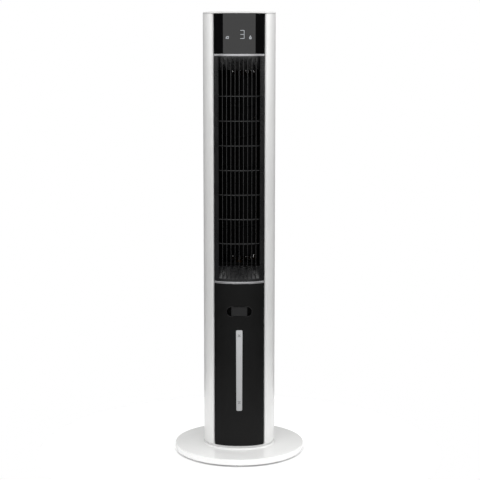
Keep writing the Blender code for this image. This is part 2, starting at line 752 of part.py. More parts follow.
def front_grille():
    """Black grille: frame, throat, ramps, ribs and upright fins in one moulding."""
    bottom = GRILLE_BOTTOM + GAP
    top = GRILLE_TOP - GAP
    opening_bottom = GRILLE_BOTTOM + FRAME_BOTTOM
    opening_top = GRILLE_TOP - FRAME_TOP
    grille = curved_bar("front_grille", INSERT_HALF_WIDTH - GAP,
                        (INSERT_SETBACK, INSERT_SETBACK + INSERT_WALL), (bottom, top), BLACK_ABS)
    opening = blocks("air_opening", [((-AIR_HALF_WIDTH, -2 * HALF_DEPTH, opening_bottom),
                                      (AIR_HALF_WIDTH, 0.0, opening_top))], BLACK_ABS)
    combine(grille, opening, "DIFFERENCE", "MANIFOLD")
    throat_front = -depth_at(AIR_HALF_WIDTH + THROAT_WALL, INSERT_SETBACK + INSERT_WALL / 2)
    low = opening_bottom - RAMP_WALL / 2
    high = opening_top + FRAME_TOP / 2
    outer = AIR_HALF_WIDTH + THROAT_WALL
    inner = AIR_HALF_WIDTH + GAP
    back = RAMP_BACK_Y - GAP
    throat = blocks("throat", [((inner, throat_front, low), (outer, back, high)),
                               ((-outer, throat_front, low), (-inner, back, high))], BLACK_ABS)
    combine(grille, throat, "UNION", "MANIFOLD")
    floor_ramp = grille_ramp("floor_ramp", opening_bottom, AIR_BOTTOM, -RAMP_WALL)
    combine(grille, floor_ramp, "UNION", "MANIFOLD")
    roof_ramp = grille_ramp("roof_ramp", opening_top - RAMP_WALL / 2, AIR_TOP, RAMP_WALL)
    combine(grille, roof_ramp, "UNION", "MANIFOLD")
    for i in range(RIB_COUNT):
        middle = GRILLE_TOP - RIB_FIRST_DROP - i * RIB_PITCH
        rib = curved_bar("rib", AIR_HALF_WIDTH + THROAT_WALL / 2, (RIB_FRONT_INSET, FIN_BACK_INSET),
                         (middle - RIB_HEIGHT / 2, middle + RIB_HEIGHT / 2), BLACK_ABS, steps=FIN_COUNT - 1)
        combine(grille, rib, "UNION", "MANIFOLD")
    first = -(FIN_COUNT - 1) / 2
    fins = []
    for i in range(FIN_COUNT):
        x = (first + i) * FIN_PITCH
        fins.append(((x - FIN_WIDTH / 2, -depth_at(x, INSERT_SETBACK), bottom + FRAME_BOTTOM / 2),
                     (x + FIN_WIDTH / 2, -depth_at(x, FIN_BACK_INSET), top - FRAME_TOP / 2)))
    combine(grille, blocks("fins", fins, BLACK_ABS), "UNION", "MANIFOLD")
    holes = rods("pivot_holes", [(x, VANE_AXIS_Y) for x in vane_places()], VANE_PIN_RADIUS + PIN_GAP,
                 bottom, top, BLACK_ABS, steps=8)
    combine(grille, holes, "DIFFERENCE", "MANIFOLD")


# Louvre vanes

def vanes():
    """Upright vanes, each on its own pivot pins and with a crank for the link."""
    half = VANE_CHORD / 2
    thick = VANE_THICKNESS / 2
    blade = [(-thick / 3, -half), (thick / 3, -half), (thick, -half / 3), (thick, half / 3),
             (thick / 3, half), (-thick / 3, half), (-thick, half / 3), (-thick, -half / 3)]
    middle = VANE_COUNT // 2
    for i, x in enumerate(vane_places()):
        place = (x, VANE_AXIS_Y, 0.0)
        vane = prism(f"vane_{i + 1}", blade, VANE_BOTTOM, VANE_TOP, BLACK_ABS, location=place)
        pin_top = SWING_MOTOR_Z + SWING_PIN_DEPTH if i == middle else VANE_TOP + VANE_PIN_LENGTH
        pins = rods("pins", [(0.0, 0.0)], VANE_PIN_RADIUS, VANE_BOTTOM - VANE_PIN_LENGTH,
                    VANE_BOTTOM + VANE_PIN_RADIUS, BLACK_ABS, steps=6, location=place)
        combine(vane, pins, "UNION")
        pins = rods("pins", [(0.0, 0.0)], VANE_PIN_RADIUS, VANE_TOP - VANE_PIN_RADIUS,
                    pin_top, BLACK_ABS, steps=6, location=place)
        combine(vane, pins, "UNION")
        crank_low = VANE_BOTTOM + CRANK_RISE
        crank = blocks("crank", [((-thick, half * 0.8, crank_low),
                                  (thick, CRANK_LENGTH + thick, crank_low + CRANK_HEIGHT))], BLACK_ABS, place)
        combine(vane, crank, "UNION")
        pin = rods("crank_pin", [(0.0, CRANK_LENGTH)], CRANK_PIN_RADIUS, crank_low - LINK_HEIGHT - 2 * GAP,
                   crank_low + CRANK_HEIGHT / 2, BLACK_ABS, steps=8, location=place)
        combine(vane, pin, "UNION")


def vane_link():
    """Bar that joins the vanes' cranks, so that they all turn together."""
    places = vane_places()
    top = VANE_BOTTOM + CRANK_RISE - GAP
    half = LINK_WIDTH / 2
    link = blocks("vane_link", [((places[0] - LINK_END, -half, top - LINK_HEIGHT),
                                 (places[-1] + LINK_END, half, top))], BLACK_ABS, (0.0, CRANK_PIN_Y, 0.0))
    holes = rods("link_holes", [(x, CRANK_PIN_Y) for x in places], CRANK_PIN_RADIUS + PIN_GAP,
                 top - 2 * LINK_HEIGHT, top + LINK_HEIGHT, BLACK_ABS, steps=8)
    combine(link, holes, "DIFFERENCE")


def swing_motor():
    """Small geared motor above the middle vane, which it turns directly."""
    motor = rods("swing_motor", [(0.0, VANE_AXIS_Y + SWING_MOTOR_OFFSET)], SWING_MOTOR_RADIUS,
                 SWING_MOTOR_Z, SWING_MOTOR_Z + SWING_MOTOR_HEIGHT, STEEL)
    socket = rods("motor_socket", [(0.0, VANE_AXIS_Y)], VANE_PIN_RADIUS + PIN_GAP,
                  SWING_MOTOR_Z - SWING_SOCKET_DEPTH, SWING_MOTOR_Z + SWING_SOCKET_DEPTH, STEEL, steps=8)
    round_off(combine(motor, socket, "DIFFERENCE"))


# Blower

def disc_heights():
    """Gives the lower face of each disc on the blower wheel."""
    return steps_between(WHEEL_BOTTOM, WHEEL_TOP - BLOWER_DISC_THICKNESS, BLOWER_DISC_COUNT - 1)


def blower_wheel():
    """Long wheel of slanted blades between two end discs, stiffened by rings."""
    place = (0.0, BLOWER_AXIS_Y, 0.0)
    heights = disc_heights()
    middle_radius = BLOWER_RADIUS - BLOWER_BLADE_DEPTH / 2 - BLOWER_BLADE_INSET
    points = []
    faces = []
    half_depth = BLOWER_BLADE_DEPTH / 2
    half_thick = BLOWER_BLADE_THICKNESS / 2
    low = heights[0] + BLOWER_DISC_THICKNESS / 2
    high = heights[-1] + BLOWER_DISC_THICKNESS / 2
    for i in range(BLOWER_BLADE_COUNT):
        turn = 2 * math.pi * i / BLOWER_BLADE_COUNT
        slant = turn + BLOWER_BLADE_ANGLE
        along = Vector((math.cos(slant), math.sin(slant), 0.0))
        across = Vector((-along.y, along.x, 0.0))
        middle = Vector((math.cos(turn), math.sin(turn), 0.0)) * middle_radius
        first = len(points)
        for z in (low, high):
            for a, b in ((-1, -1), (1, -1), (1, 1), (-1, 1)):
                points.append(middle + along * a * half_depth + across * b * half_thick + Vector((0, 0, z)))
        faces.append([first + k for k in range(4)])
        faces.append([first + 4 + k for k in range(4)])
        for k in range(4):
            j = (k + 1) % 4
            faces.append((first + k, first + j, first + 4 + j, first + 4 + k))
    wheel = add_piece("blower_wheel", points, faces, BLACK_ABS, place)
    for i, z in enumerate(heights):
        inner = SHAFT_RADIUS + PIN_GAP if i in (0, len(heights) - 1) else BLOWER_RADIUS - BLOWER_RING_WIDTH
        top = z + BLOWER_DISC_THICKNESS
        disc = turned("disc", [(inner, z), (BLOWER_RADIUS, z), (BLOWER_RADIUS, top), (inner, top)],
                      BLACK_ABS, steps=20, location=place)
        combine(wheel, disc, "UNION")


def blower_shafts():
    """Steel motor shaft at the top of the wheel and stub axle at its bottom."""
    place = (0.0, BLOWER_AXIS_Y, 0.0)
    motor_bottom = DUCT_CEILING + DUCT_PLATE + GAP
    rods("motor_shaft", [(0.0, 0.0)], SHAFT_RADIUS, WHEEL_TOP - SHAFT_GRIP,
         motor_bottom + FAN_MOTOR_SHAFT_DEPTH - GAP, STEEL, steps=12, location=place)
    rods("blower_axle", [(0.0, 0.0)], SHAFT_RADIUS, DUCT_FLOOR - AXLE_TAIL,
         WHEEL_BOTTOM + SHAFT_GRIP, STEEL, steps=12, location=place)


def fan_motor():
    """Motor on top of the duct, with a blind bore for its shaft."""
    bottom = DUCT_CEILING + DUCT_PLATE + GAP
    bore = SHAFT_RADIUS + PIN_GAP
    top = bottom + FAN_MOTOR_HEIGHT
    body_top = top - FAN_MOTOR_NECK_HEIGHT
    neck = FAN_MOTOR_NECK_RADIUS
    profile = [(bore, bottom), (FAN_MOTOR_RADIUS, bottom), (FAN_MOTOR_RADIUS, body_top), (neck, body_top),
               (neck, top), (0.0, top), (0.0, bottom + FAN_MOTOR_SHAFT_DEPTH),
               (bore, bottom + FAN_MOTOR_SHAFT_DEPTH)]
    turned("fan_motor", profile, STEEL, steps=24, location=(0.0, BLOWER_AXIS_Y, 0.0))


def lower_bearing():
    """Bronze bush that the stub axle turns in."""
    bottom = DUCT_FLOOR + GAP
    bore = SHAFT_RADIUS + PIN_GAP
    profile = [(bore, bottom), (BEARING_RADIUS, bottom), (BEARING_RADIUS, bottom + BEARING_HEIGHT),
               (bore, bottom + BEARING_HEIGHT)]
    turned("lower_bearing", profile, BRONZE, location=(0.0, BLOWER_AXIS_Y, 0.0))


def duct_wall(centre_line):
    """Gives the plan outline of a wall of even thickness along a line of points."""
    left = []
    right = []
    for i, point in enumerate(centre_line):
        before = Vector(centre_line[max(i - 1, 0)])
        after = Vector(centre_line[min(i + 1, len(centre_line) - 1)])
        along = (after - before).normalized()
        across = Vector((-along.y, along.x)) * DUCT_WALL / 2
        left.append(tuple(Vector(point) + across))
        right.append(tuple(Vector(point) - across))
    return left + right[::-1]


def air_duct():
    """Scroll housing: two plates joined by a spiral wall and a cut-off wall."""
    low = DUCT_FLOOR - DUCT_PLATE
    high = DUCT_CEILING + DUCT_PLATE
    corners = ((-DUCT_HALF_WIDTH, DUCT_FRONT_Y), (DUCT_HALF_WIDTH, DUCT_REAR_Y))
    duct = blocks("air_duct", [((*corners[0], low), (*corners[1], DUCT_FLOOR))], GREY_PP)
    side = DUCT_HALF_WIDTH - 2 * DUCT_WALL
    spiral = [(-AIR_HALF_WIDTH - DUCT_WALL / 2, DUCT_FRONT_Y + DUCT_WALL / 2)]
    for i in range(SCROLL_POINTS):
        turn = math.pi - SCROLL_TURN * i
        radius = min(side, BLOWER_RADIUS + SCROLL_GAP - SCROLL_CLOSING * i)
        spiral.append((radius * math.cos(turn), BLOWER_AXIS_Y + radius * math.sin(turn)))
    spiral[-1] = (spiral[-1][0], DUCT_REAR_Y - DUCT_WALL)
    tongue_x = math.sqrt((BLOWER_RADIUS + TONGUE_GAP) ** 2 - TONGUE_FRONT ** 2)
    tongue = [(AIR_HALF_WIDTH + DUCT_WALL / 2, DUCT_FRONT_Y + DUCT_WALL / 2),
              (tongue_x + DUCT_WALL, BLOWER_AXIS_Y - TONGUE_FRONT), (side, BLOWER_AXIS_Y + TONGUE_REAR),
              (side, DUCT_REAR_Y - DUCT_WALL)]
    for line in (spiral, tongue):
        wall = prism("wall", duct_wall(line), low + DUCT_PLATE / 2, high - DUCT_PLATE / 2, GREY_PP)
        combine(duct, wall, "UNION")
    roof = blocks("roof", [((*corners[0], DUCT_CEILING), (*corners[1], high))], GREY_PP)
    combine(duct, roof, "UNION")
    shaft_hole = rods("shaft_hole", [(0.0, BLOWER_AXIS_Y)], SHAFT_RADIUS + 5 * PIN_GAP,
                      low - DUCT_PLATE, high + DUCT_PLATE, GREY_PP)
    combine(duct, shaft_hole, "DIFFERENCE")


def tank_bay_roof():
    """Plate between the wet tank bay and the blower, with a hole for the riser."""
    top = GRILLE_BOTTOM
    roof = prism("tank_bay_roof", plan(INNER_INSET), top - ROOF_WALL, top, GREY_PP)
    hole = rods("riser_hole", [(RISER_X, RISER_Y)], PIPE_RADIUS + RISER_HOLE_GAP, top - 2 * ROOF_WALL,
                top + ROOF_WALL, GREY_PP)
    combine(roof, hole, "DIFFERENCE")


# Rear intake

def rear_grille():
    """White intake grille, which lifts off the back with the filter and the pad."""
    bottom = REAR_LOWER_Z
    top = REAR_UPPER_Z - GAP
    grille = curved_bar("rear_grille", INSERT_HALF_WIDTH - GAP, (0.0, REAR_WALL), (bottom, top),
                        WHITE_ABS, side=1, steps=8)
    usable = 2 * (INSERT_HALF_WIDTH - GAP - SLOT_MARGIN)
    slot_width = (usable - (SLOT_COLUMNS - 1) * SLOT_BAR) / SLOT_COLUMNS
    first = bottom + SLOT_END_MARGIN
    pitch = (top - SLOT_END_MARGIN - SLOT_HEIGHT - first) / (SLOT_ROWS - 1)
    slots = []
    for row in range(SLOT_ROWS):
        z = first + row * pitch
        for column in range(SLOT_COLUMNS):
            x = -usable / 2 + column * (slot_width + SLOT_BAR)
            slots.append(((x, 0.0, z), (x + slot_width, 2 * HALF_DEPTH, z + SLOT_HEIGHT)))
    combine(grille, blocks("slots", slots, WHITE_ABS), "DIFFERENCE")


def dust_filter():
    """Fine mesh between the intake grille and the pad."""
    front = PAD_REAR_Y + GAP
    half_width = PAD_HALF_WIDTH - PAD_FRAME_WALL
    blocks("dust_filter", [((-half_width, front, PAD_BOTTOM), (half_width, front + FILTER_WALL, PAD_TOP))],
           NYLON_MESH)


def pad_and_frame():
    """Honeycomb pad of treated paper in its plastic frame."""
    frame = blocks("pad_frame", [((-PAD_HALF_WIDTH, PAD_FRONT_Y, PAD_BOTTOM),
                                  (PAD_HALF_WIDTH, PAD_REAR_Y, PAD_TOP))], GREY_PP)
    half_width = PAD_HALF_WIDTH - PAD_FRAME_WALL
    low = PAD_BOTTOM + PAD_FRAME_WALL
    high = PAD_TOP - PAD_FRAME_WALL
    opening = blocks("pad_opening", [((-half_width, 0.0, low), (half_width, HALF_DEPTH, high))], GREY_PP)
    combine(frame, opening, "DIFFERENCE")
    blocks("cooling_pad", [((-half_width + GAP, PAD_FRONT_Y + GAP, low + GAP),
                            (half_width - GAP, PAD_REAR_Y - GAP, high - GAP))], CELLULOSE)


def water_trough():
    """Trough with drip holes, which wets the pad from above."""
    bottom = PAD_TOP + 2 * GAP
    top = bottom + TROUGH_HEIGHT
    trough = blocks("water_trough", [((-PAD_HALF_WIDTH, PAD_FRONT_Y, bottom),
                                      (PAD_HALF_WIDTH, PAD_REAR_Y, top))], GREY_PP)
    wall = TROUGH_WALL
    hollow = blocks("trough_hollow", [((-PAD_HALF_WIDTH + wall, PAD_FRONT_Y + wall, bottom + wall),
                                       (PAD_HALF_WIDTH - wall, PAD_REAR_Y - wall, top + wall))], GREY_PP)
    combine(trough, hollow, "DIFFERENCE")
    pitch = 2 * (PAD_HALF_WIDTH - wall) / TROUGH_HOLES
    middle_y = (PAD_FRONT_Y + PAD_REAR_Y) / 2
    places = [((i - (TROUGH_HOLES - 1) / 2) * pitch, middle_y) for i in range(TROUGH_HOLES)]
    holes = rods("drip_holes", places, TROUGH_HOLE_RADIUS, bottom - wall, bottom + 2 * wall, GREY_PP, steps=8)
    combine(trough, holes, "DIFFERENCE")


# Tank drawer

def tank_outline(inset):
    """Gives the tub's plan, whose front follows the curved panel."""
    half_width = TANK_HALF_WIDTH - inset
    rear = TANK_REAR_Y - inset
    corner = TANK_CORNER - inset
    outline = [(x, -depth_at(x, INNER_INSET + inset)) for x in steps_between(-half_width, half_width)]
    for quarter in (0, 1):
        side = 1 - 2 * quarter
        for i in range(4):
            turn = (quarter + i / 3) * math.pi / 2
            outline.append((side * (half_width - corner) + corner * math.cos(turn),
                            rear - corner + corner * math.sin(turn)))
    return outline


def tank_tub():
    """Open water tub of clear plastic, which rides on the plinth."""
    tub = prism("tank_tub", tank_outline(0.0), TANK_BOTTOM, TANK_BOTTOM + TANK_HEIGHT, CLEAR_PP)
    hollow = prism("tub_hollow", tank_outline(TANK_WALL), TANK_BOTTOM + TANK_WALL,
                   TANK_BOTTOM + TANK_HEIGHT + TANK_WALL, CLEAR_PP)
    return combine(tub, hollow, "DIFFERENCE")


def tank_front():
    """Black drawer front with its finger recess and the slot for the level window."""
    panel = curved_bar("tank_front", INSERT_HALF_WIDTH - GAP, (INSERT_SETBACK, INSERT_SETBACK + INSERT_WALL),
                       (COLUMN_BOTTOM, LOWER_TRIM_Z - GAP), BLACK_ABS)
    opening = pill((0.0, RECESS_Z), RECESS_WIDTH, RECESS_HEIGHT)
    combine(panel, slab("recess", opening, -2 * HALF_DEPTH, 0.0, BLACK_ABS), "DIFFERENCE")
    slot = slab("window_slot", window_outline(0.0), -2 * HALF_DEPTH, 0.0, BLACK_ABS)
    return combine(panel, slot, "DIFFERENCE")


def window_outline(inset):
    """Gives the level window's outline in X and Z, drawn in by an inset."""
    centre = (0.0, WINDOW_BOTTOM + WINDOW_HEIGHT / 2)
    return rounded_rectangle(centre, WINDOW_WIDTH - 2 * inset, WINDOW_HEIGHT - 2 * inset,
                             WINDOW_CORNER - inset)


def level_window():
    """Clear strip that shows the water level."""
    window = curved_bar("level_window", WINDOW_WIDTH, (INSERT_SETBACK, INSERT_SETBACK + INSERT_WALL),
                        (WINDOW_BOTTOM - WINDOW_WIDTH, WINDOW_BOTTOM + WINDOW_HEIGHT + WINDOW_WIDTH),
                        CLEAR_PP, steps=4)
    blank = slab("window_blank", window_outline(GAP), -2 * HALF_DEPTH, 0.0, CLEAR_PP)
    return combine(window, blank, "INTERSECT")


def grip_cup():
    """Closed cup behind the recess, which keeps fingers out of the tub."""
    back = -HALF_DEPTH + INNER_INSET + CUP_DEPTH
    wall = CUP_WALL
    cup = slab("grip_cup", pill((0.0, RECESS_Z), RECESS_WIDTH + 2 * wall, RECESS_HEIGHT + 2 * wall),
               -2 * HALF_DEPTH, back, BLACK_ABS)
    hollow = slab("cup_hollow", pill((0.0, RECESS_Z), RECESS_WIDTH, RECESS_HEIGHT), -3 * HALF_DEPTH,
                  back - wall, BLACK_ABS)
    combine(cup, hollow, "DIFFERENCE")
    behind = prism("behind_panel", plan(INSERT_SETBACK + INSERT_WALL + GAP), RECESS_Z - RECESS_WIDTH,
                   RECESS_Z + RECESS_WIDTH, BLACK_ABS)
    return combine(cup, behind, "INTERSECT")


def grip_plate():
    """Plate across the recess that the fingers pull on, on a web from the cup's floor."""
    half_height = GRIP_HEIGHT / 2
    plate = curved_bar("grip_plate", GRIP_WIDTH / 2, (INSERT_SETBACK, INSERT_SETBACK + INSERT_WALL),
                       (RECESS_Z - half_height, RECESS_Z + half_height), BLACK_ABS, steps=6)
    web_front = -HALF_DEPTH + INSERT_SETBACK + INSERT_WALL / 2
    web_back = -HALF_DEPTH + INNER_INSET + CUP_DEPTH - CUP_WALL - GAP
    web = blocks("web", [((-GRIP_WEB / 2, web_front, RECESS_Z - GRIP_WEB_HEIGHT / 2),
                          (GRIP_WEB / 2, web_back, RECESS_Z + GRIP_WEB_HEIGHT / 2))], BLACK_ABS)
    return combine(plate, web, "UNION")


# Pump and pipes

def pump_body():
    """Submersible pump in the tub, with its impeller chamber open below."""
    top = PUMP_BOTTOM + PUMP_HEIGHT
    pump = blocks("pump_body", [((PUMP_X - PUMP_HALF_WIDTH, PUMP_Y - PUMP_HALF_DEPTH, PUMP_BOTTOM),
                                 (PUMP_X + PUMP_HALF_WIDTH, PUMP_Y + PUMP_HALF_DEPTH, top))], BLACK_ABS)
    chamber = rods("chamber", [(PUMP_X, PUMP_Y)], PUMP_CAVITY_RADIUS, PUMP_BOTTOM - PUMP_HEIGHT,
                   PUMP_BOTTOM + PUMP_CAVITY_HEIGHT, BLACK_ABS)
    return combine(pump, chamber, "DIFFERENCE")


def pump_impeller():
    """Hub with straight blades."""
    place = (PUMP_X, PUMP_Y, PUMP_BOTTOM + IMPELLER_LIFT)
    hub_radius = IMPELLER_RADIUS / 3
    impeller = rods("pump_impeller", [(0.0, 0.0)], hub_radius, 0.0, IMPELLER_HEIGHT, GREY_PP,
                    steps=12, location=place)
    for i in range(IMPELLER_BLADES // 2):
        half_thick = IMPELLER_BLADE_THICKNESS / 2
        blade = blocks("blade", [((-IMPELLER_RADIUS, -half_thick, IMPELLER_HEIGHT * 0.1),
                                  (IMPELLER_RADIUS, half_thick, IMPELLER_HEIGHT * 0.9))], GREY_PP, place)
        blade.rotation_euler = (0.0, 0.0, 2 * math.pi * i / IMPELLER_BLADES)
        combine(impeller, blade, "UNION")
    return impeller


def pump_pipe():
    """Pipe from the pump up to a push-in coupling at the rear of the tank."""
    end = TANK_REAR_Y - COUPLING_GAP
    route = [(PIPE_X, PIPE_Y, PUMP_BOTTOM + PUMP_HEIGHT + GAP),
             (PIPE_X, PIPE_Y, COUPLING_Z - 3 * PIPE_BEND),
             (PIPE_X, PIPE_Y, COUPLING_Z - PIPE_BEND),
             (PIPE_X, PIPE_Y + PIPE_BEND * 0.3, COUPLING_Z - PIPE_BEND * 0.3),
             (PIPE_X, PIPE_Y + PIPE_BEND, COUPLING_Z), (PIPE_X, end, COUPLING_Z)]
    return pipe("pump_pipe", route, GREY_PP)


def riser_pipe():
    """Pipe from the coupling, up beside the duct, to the trough over the pad."""
    trough_top = PAD_TOP + 2 * GAP + TROUGH_HEIGHT
    outlet_z = trough_top + PIPE_RADIUS + OUTLET_GAP
    outlet_y = (PAD_FRONT_Y + PAD_REAR_Y) / 2
    bend = RISER_TOP_BEND
    route = [(PIPE_X, TANK_REAR_Y, COUPLING_Z),
             (PIPE_X, TANK_REAR_Y + COUPLING_LENGTH, COUPLING_Z),
             (PIPE_X + RISER_RUN / 16, TANK_REAR_Y + RISER_SWING_Y, COUPLING_Z + RISER_RUN / 10),
             (PIPE_X + RISER_RUN / 4, TANK_REAR_Y - COUPLING_LENGTH, COUPLING_Z + RISER_RUN / 3),
             (RISER_X - RISER_LEAD_Y / 2, RISER_Y + RISER_LEAD_Y, COUPLING_Z + RISER_RUN * 2 / 3),
             (RISER_X, RISER_Y, COUPLING_Z + RISER_RUN),
             (RISER_X, RISER_Y, outlet_z - 2 * bend),
             (RISER_X, RISER_Y, outlet_z - bend),
             (RISER_X - bend * 0.3, RISER_Y + bend * 0.6, outlet_z - bend * 0.3),
             (PAD_HALF_WIDTH - OUTLET_REACH * 0.3, outlet_y, outlet_z),
             (PAD_HALF_WIDTH - OUTLET_REACH, outlet_y, outlet_z)]
    pipe("riser_pipe", route, GREY_PP)


def main_board():
    """Power and control board under the top cap."""
    z = DISPLAY_BOTTOM + MAIN_BOARD_RISE
    front = MAIN_BOARD_CENTRE_Y - MAIN_BOARD_DEPTH / 2
    blocks("main_board", [((-MAIN_BOARD_WIDTH / 2, front, z),
                           (MAIN_BOARD_WIDTH / 2, front + MAIN_BOARD_DEPTH, z + BOARD_WALL))], CIRCUIT_BOARD)


def build():
    """Builds every piece and hangs the sliding ones on their joints."""
    clear_scene()
    base_cover()
    base_pan()
    feet()
    column_plinth()
    side_shells()
    rear_covers()
    inlet_gland()
    top_cap()
    control_panel()
    buttons()
    button_board()
    display()
    trims()
    front_grille()
    vanes()
    vane_link()
    swing_motor()
    blower_wheel()
    blower_shafts()
    fan_motor()
    lower_bearing()
    air_duct()
    tank_bay_roof()
    water_trough()
    riser_pipe()
    main_board()
    rear_grille()
    dust_filter()
    pad_and_frame()
    door = joint_empty("rear_door_slide", (0.0, HALF_DEPTH, REAR_LOWER_Z))
    hang_on(door, [bpy.data.objects[name] for name in
                   ("rear_grille", "dust_filter", "pad_frame", "cooling_pad")])
    drawer = joint_empty("tank_slide", (0.0, 0.0, TANK_BOTTOM))
    hang_on(drawer, [tank_tub(), tank_front(), level_window(), grip_cup(), grip_plate(),
                     pump_body(), pump_impeller(), pump_pipe()])


build()
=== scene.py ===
import math

import bmesh
import bpy
from mathutils import Matrix, Vector


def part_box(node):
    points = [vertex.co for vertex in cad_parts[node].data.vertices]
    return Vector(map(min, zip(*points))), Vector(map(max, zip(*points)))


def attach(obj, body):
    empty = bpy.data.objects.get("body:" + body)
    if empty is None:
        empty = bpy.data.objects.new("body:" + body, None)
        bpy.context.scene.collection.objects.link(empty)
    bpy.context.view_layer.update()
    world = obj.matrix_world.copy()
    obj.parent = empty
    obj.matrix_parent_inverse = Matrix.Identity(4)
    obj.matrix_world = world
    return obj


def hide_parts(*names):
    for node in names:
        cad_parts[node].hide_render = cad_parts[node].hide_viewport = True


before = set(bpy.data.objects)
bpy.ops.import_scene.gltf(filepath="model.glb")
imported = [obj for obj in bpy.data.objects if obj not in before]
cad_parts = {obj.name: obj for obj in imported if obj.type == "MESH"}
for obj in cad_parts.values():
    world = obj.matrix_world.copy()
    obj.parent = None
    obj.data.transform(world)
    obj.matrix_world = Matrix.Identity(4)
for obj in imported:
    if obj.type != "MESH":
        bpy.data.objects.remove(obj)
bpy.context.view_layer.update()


# Base dish: injection moulded white ABS, polished on top, with a soft edge all round. The
# column stands on it, and a black plate closes it from below.

DISH_WALL = 0.003
DISH_TOP_EDGE = 0.0015
DISH_LOWER_EDGE = 0.0012
COLLAR_RISE = 0.003           # how far a collar round the column's foot rises from the dish


def linear(code):
    """Turns an sRGB hex colour into linear red, green, blue and alpha."""
    shades = [int(code[i:i + 2], 16) / 255 for i in (0, 2, 4)]
    return [s / 12.92 if s <= 0.04045 else ((s + 0.055) / 1.055) ** 2.4 for s in shades] + [1.0]


def add_node(material, kind, inputs, stops=(), into=None, **properties):
    """Adds a shader node, sets its properties, sets or links its inputs, and feeds a socket."""
    tree = material.node_tree
    node = tree.nodes.new("ShaderNode" + kind)
    for name, value in properties.items():
        setattr(node, name, value)
    for i, (place, code) in enumerate(stops):
        stop = node.color_ramp.elements[i] if i < 2 else node.color_ramp.elements.new(place)
        stop.position = place
        stop.color = linear(code)
    for socket, value in inputs.items():
        if isinstance(value, bpy.types.NodeSocket):
            tree.links.new(value, node.inputs[socket])
        else:
            node.inputs[socket].default_value = value
    if into:
        tree.links.new(node.outputs[0], into)
    return node


def begin_finish(name, code, roughness, metallic=0.0, ior=1.5, specular=0.5):
    """Starts a finish with its even values set on the shader itself."""
    material = bpy.data.materials.new(name)
    material.use_nodes = True
    shader = material.node_tree.nodes["Principled BSDF"]
    shader.inputs["Base Color"].default_value = linear(code)
    shader.inputs["Roughness"].default_value = roughness
    shader.inputs["Metallic"].default_value = metallic
    shader.inputs["IOR"].default_value = ior
    shader.inputs["Specular IOR Level"].default_value = specular
    place = add_node(material, "TexCoord", {}).outputs["Object"]
    return material, shader, place


def moulded(name, shades, roughness, grain, depth, specular=0.5):
    """Moulded plastic: the colour and gloss drift a little along the flow, over a fine grain."""
    material, shader, place = begin_finish(name, shades[0], sum(roughness) / 2, specular=specular)
    flow = add_node(material, "TexNoise", {"Vector": place, "Scale": 1 / FLOW_SIZE, "Detail": 3.0})
    add_node(material, "ValToRGB", {"Fac": flow.outputs["Fac"]},
             stops=[(0.35, shades[0]), (0.65, shades[1])], into=shader.inputs["Base Color"])
    haze = add_node(material, "TexNoise", {"Vector": place, "Scale": 1 / HAZE_SIZE, "Detail": 2.0})
    add_node(material, "MapRange", {"Value": haze.outputs["Fac"], "From Min": 0.3, "From Max": 0.7,
                                    "To Min": roughness[0], "To Max": roughness[1]},
             into=shader.inputs["Roughness"])
    pits = add_node(material, "TexNoise", {"Vector": place, "Scale": 1 / grain, "Detail": 2.0})
    add_node(material, "Bump", {"Height": pits.outputs["Fac"], "Strength": 1.0, "Distance": depth},
             into=shader.inputs["Normal"])
    return material


def make_shape(name, points, faces):
    """Makes an object from points and faces, welded, with its faces turned outwards."""
    mesh = bpy.data.meshes.new(name)
    mesh.from_pydata([tuple(point) for point in points], [], faces)
    work = bmesh.new()
    work.from_mesh(mesh)
    bmesh.ops.remove_doubles(work, verts=work.verts, dist=1e-6)
    bmesh.ops.dissolve_degenerate(work, edges=work.edges, dist=1e-6)
    bmesh.ops.recalc_face_normals(work, faces=work.faces)
    work.to_mesh(mesh)
    work.free()
    shape = bpy.data.objects.new(name, mesh)
    bpy.context.collection.objects.link(shape)
    return shape


def apply_modifiers(shape):
    """Turns a shape with its modifiers into a plain mesh."""
    depsgraph = bpy.context.evaluated_depsgraph_get()
    mesh = bpy.data.meshes.new_from_object(shape.evaluated_get(depsgraph))
    shape.modifiers.clear()
    shape.data = mesh


def settle(shape, material, body, stands_for=(), soft_edge=0.0, steps=2):
    """Softens a shape's edges, gives it its finish, and lets it ride in place of its CAD nodes."""
    if soft_edge:
        bevel = shape.modifiers.new("Soft edge", "BEVEL")
        bevel.width = soft_edge
        bevel.segments = steps
        bevel.limit_method = "ANGLE"
        bevel.angle_limit = math.radians(40)
        shape.data.shade_smooth()
        shape.modifiers.new("Even shading", "WEIGHTED_NORMAL")
        apply_modifiers(shape)
    else:
        shape.data.shade_smooth()
        shape.data.set_sharp_from_angle(angle=math.radians(35))
    shape.data.materials.clear()
    shape.data.materials.append(material)
    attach(shape, body)
    if stands_for:
        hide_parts(*stands_for)


def loft(rings, ends=True):
    """Joins rings of equally many points, and closes both ends."""
    count = len(rings[0])
    points = [point for ring in rings for point in ring]
    faces = []
    for i in range(len(rings) - 1):
        for j in range(count):
            k = (j + 1) % count
            faces.append((i * count + j, i * count + k, (i + 1) * count + k, (i + 1) * count + j))
    if ends:
        faces += [tuple(range(count)), tuple(range(len(points) - count, len(points)))]
    return points, faces


def turned(profile, centre, steps):
    """Turns a closed profile of radius and height about an upright axis."""
    rings = []
    for i in range(steps + 1):
        turn = 2 * math.pi * i / steps
        rings.append([(centre[0] + r * math.cos(turn), centre[1] + r * math.sin(turn), z)
                      for r, z in profile])
    return loft(rings, ends=False)


def arc(centre, radius, start, end, steps):
    """Gives points along an arc; the angles are in degrees."""
    turns = [math.radians(start + (end - start) * i / steps) for i in range(steps + 1)]
    return [(centre[0] + radius * math.cos(turn), centre[1] + radius * math.sin(turn)) for turn in turns]


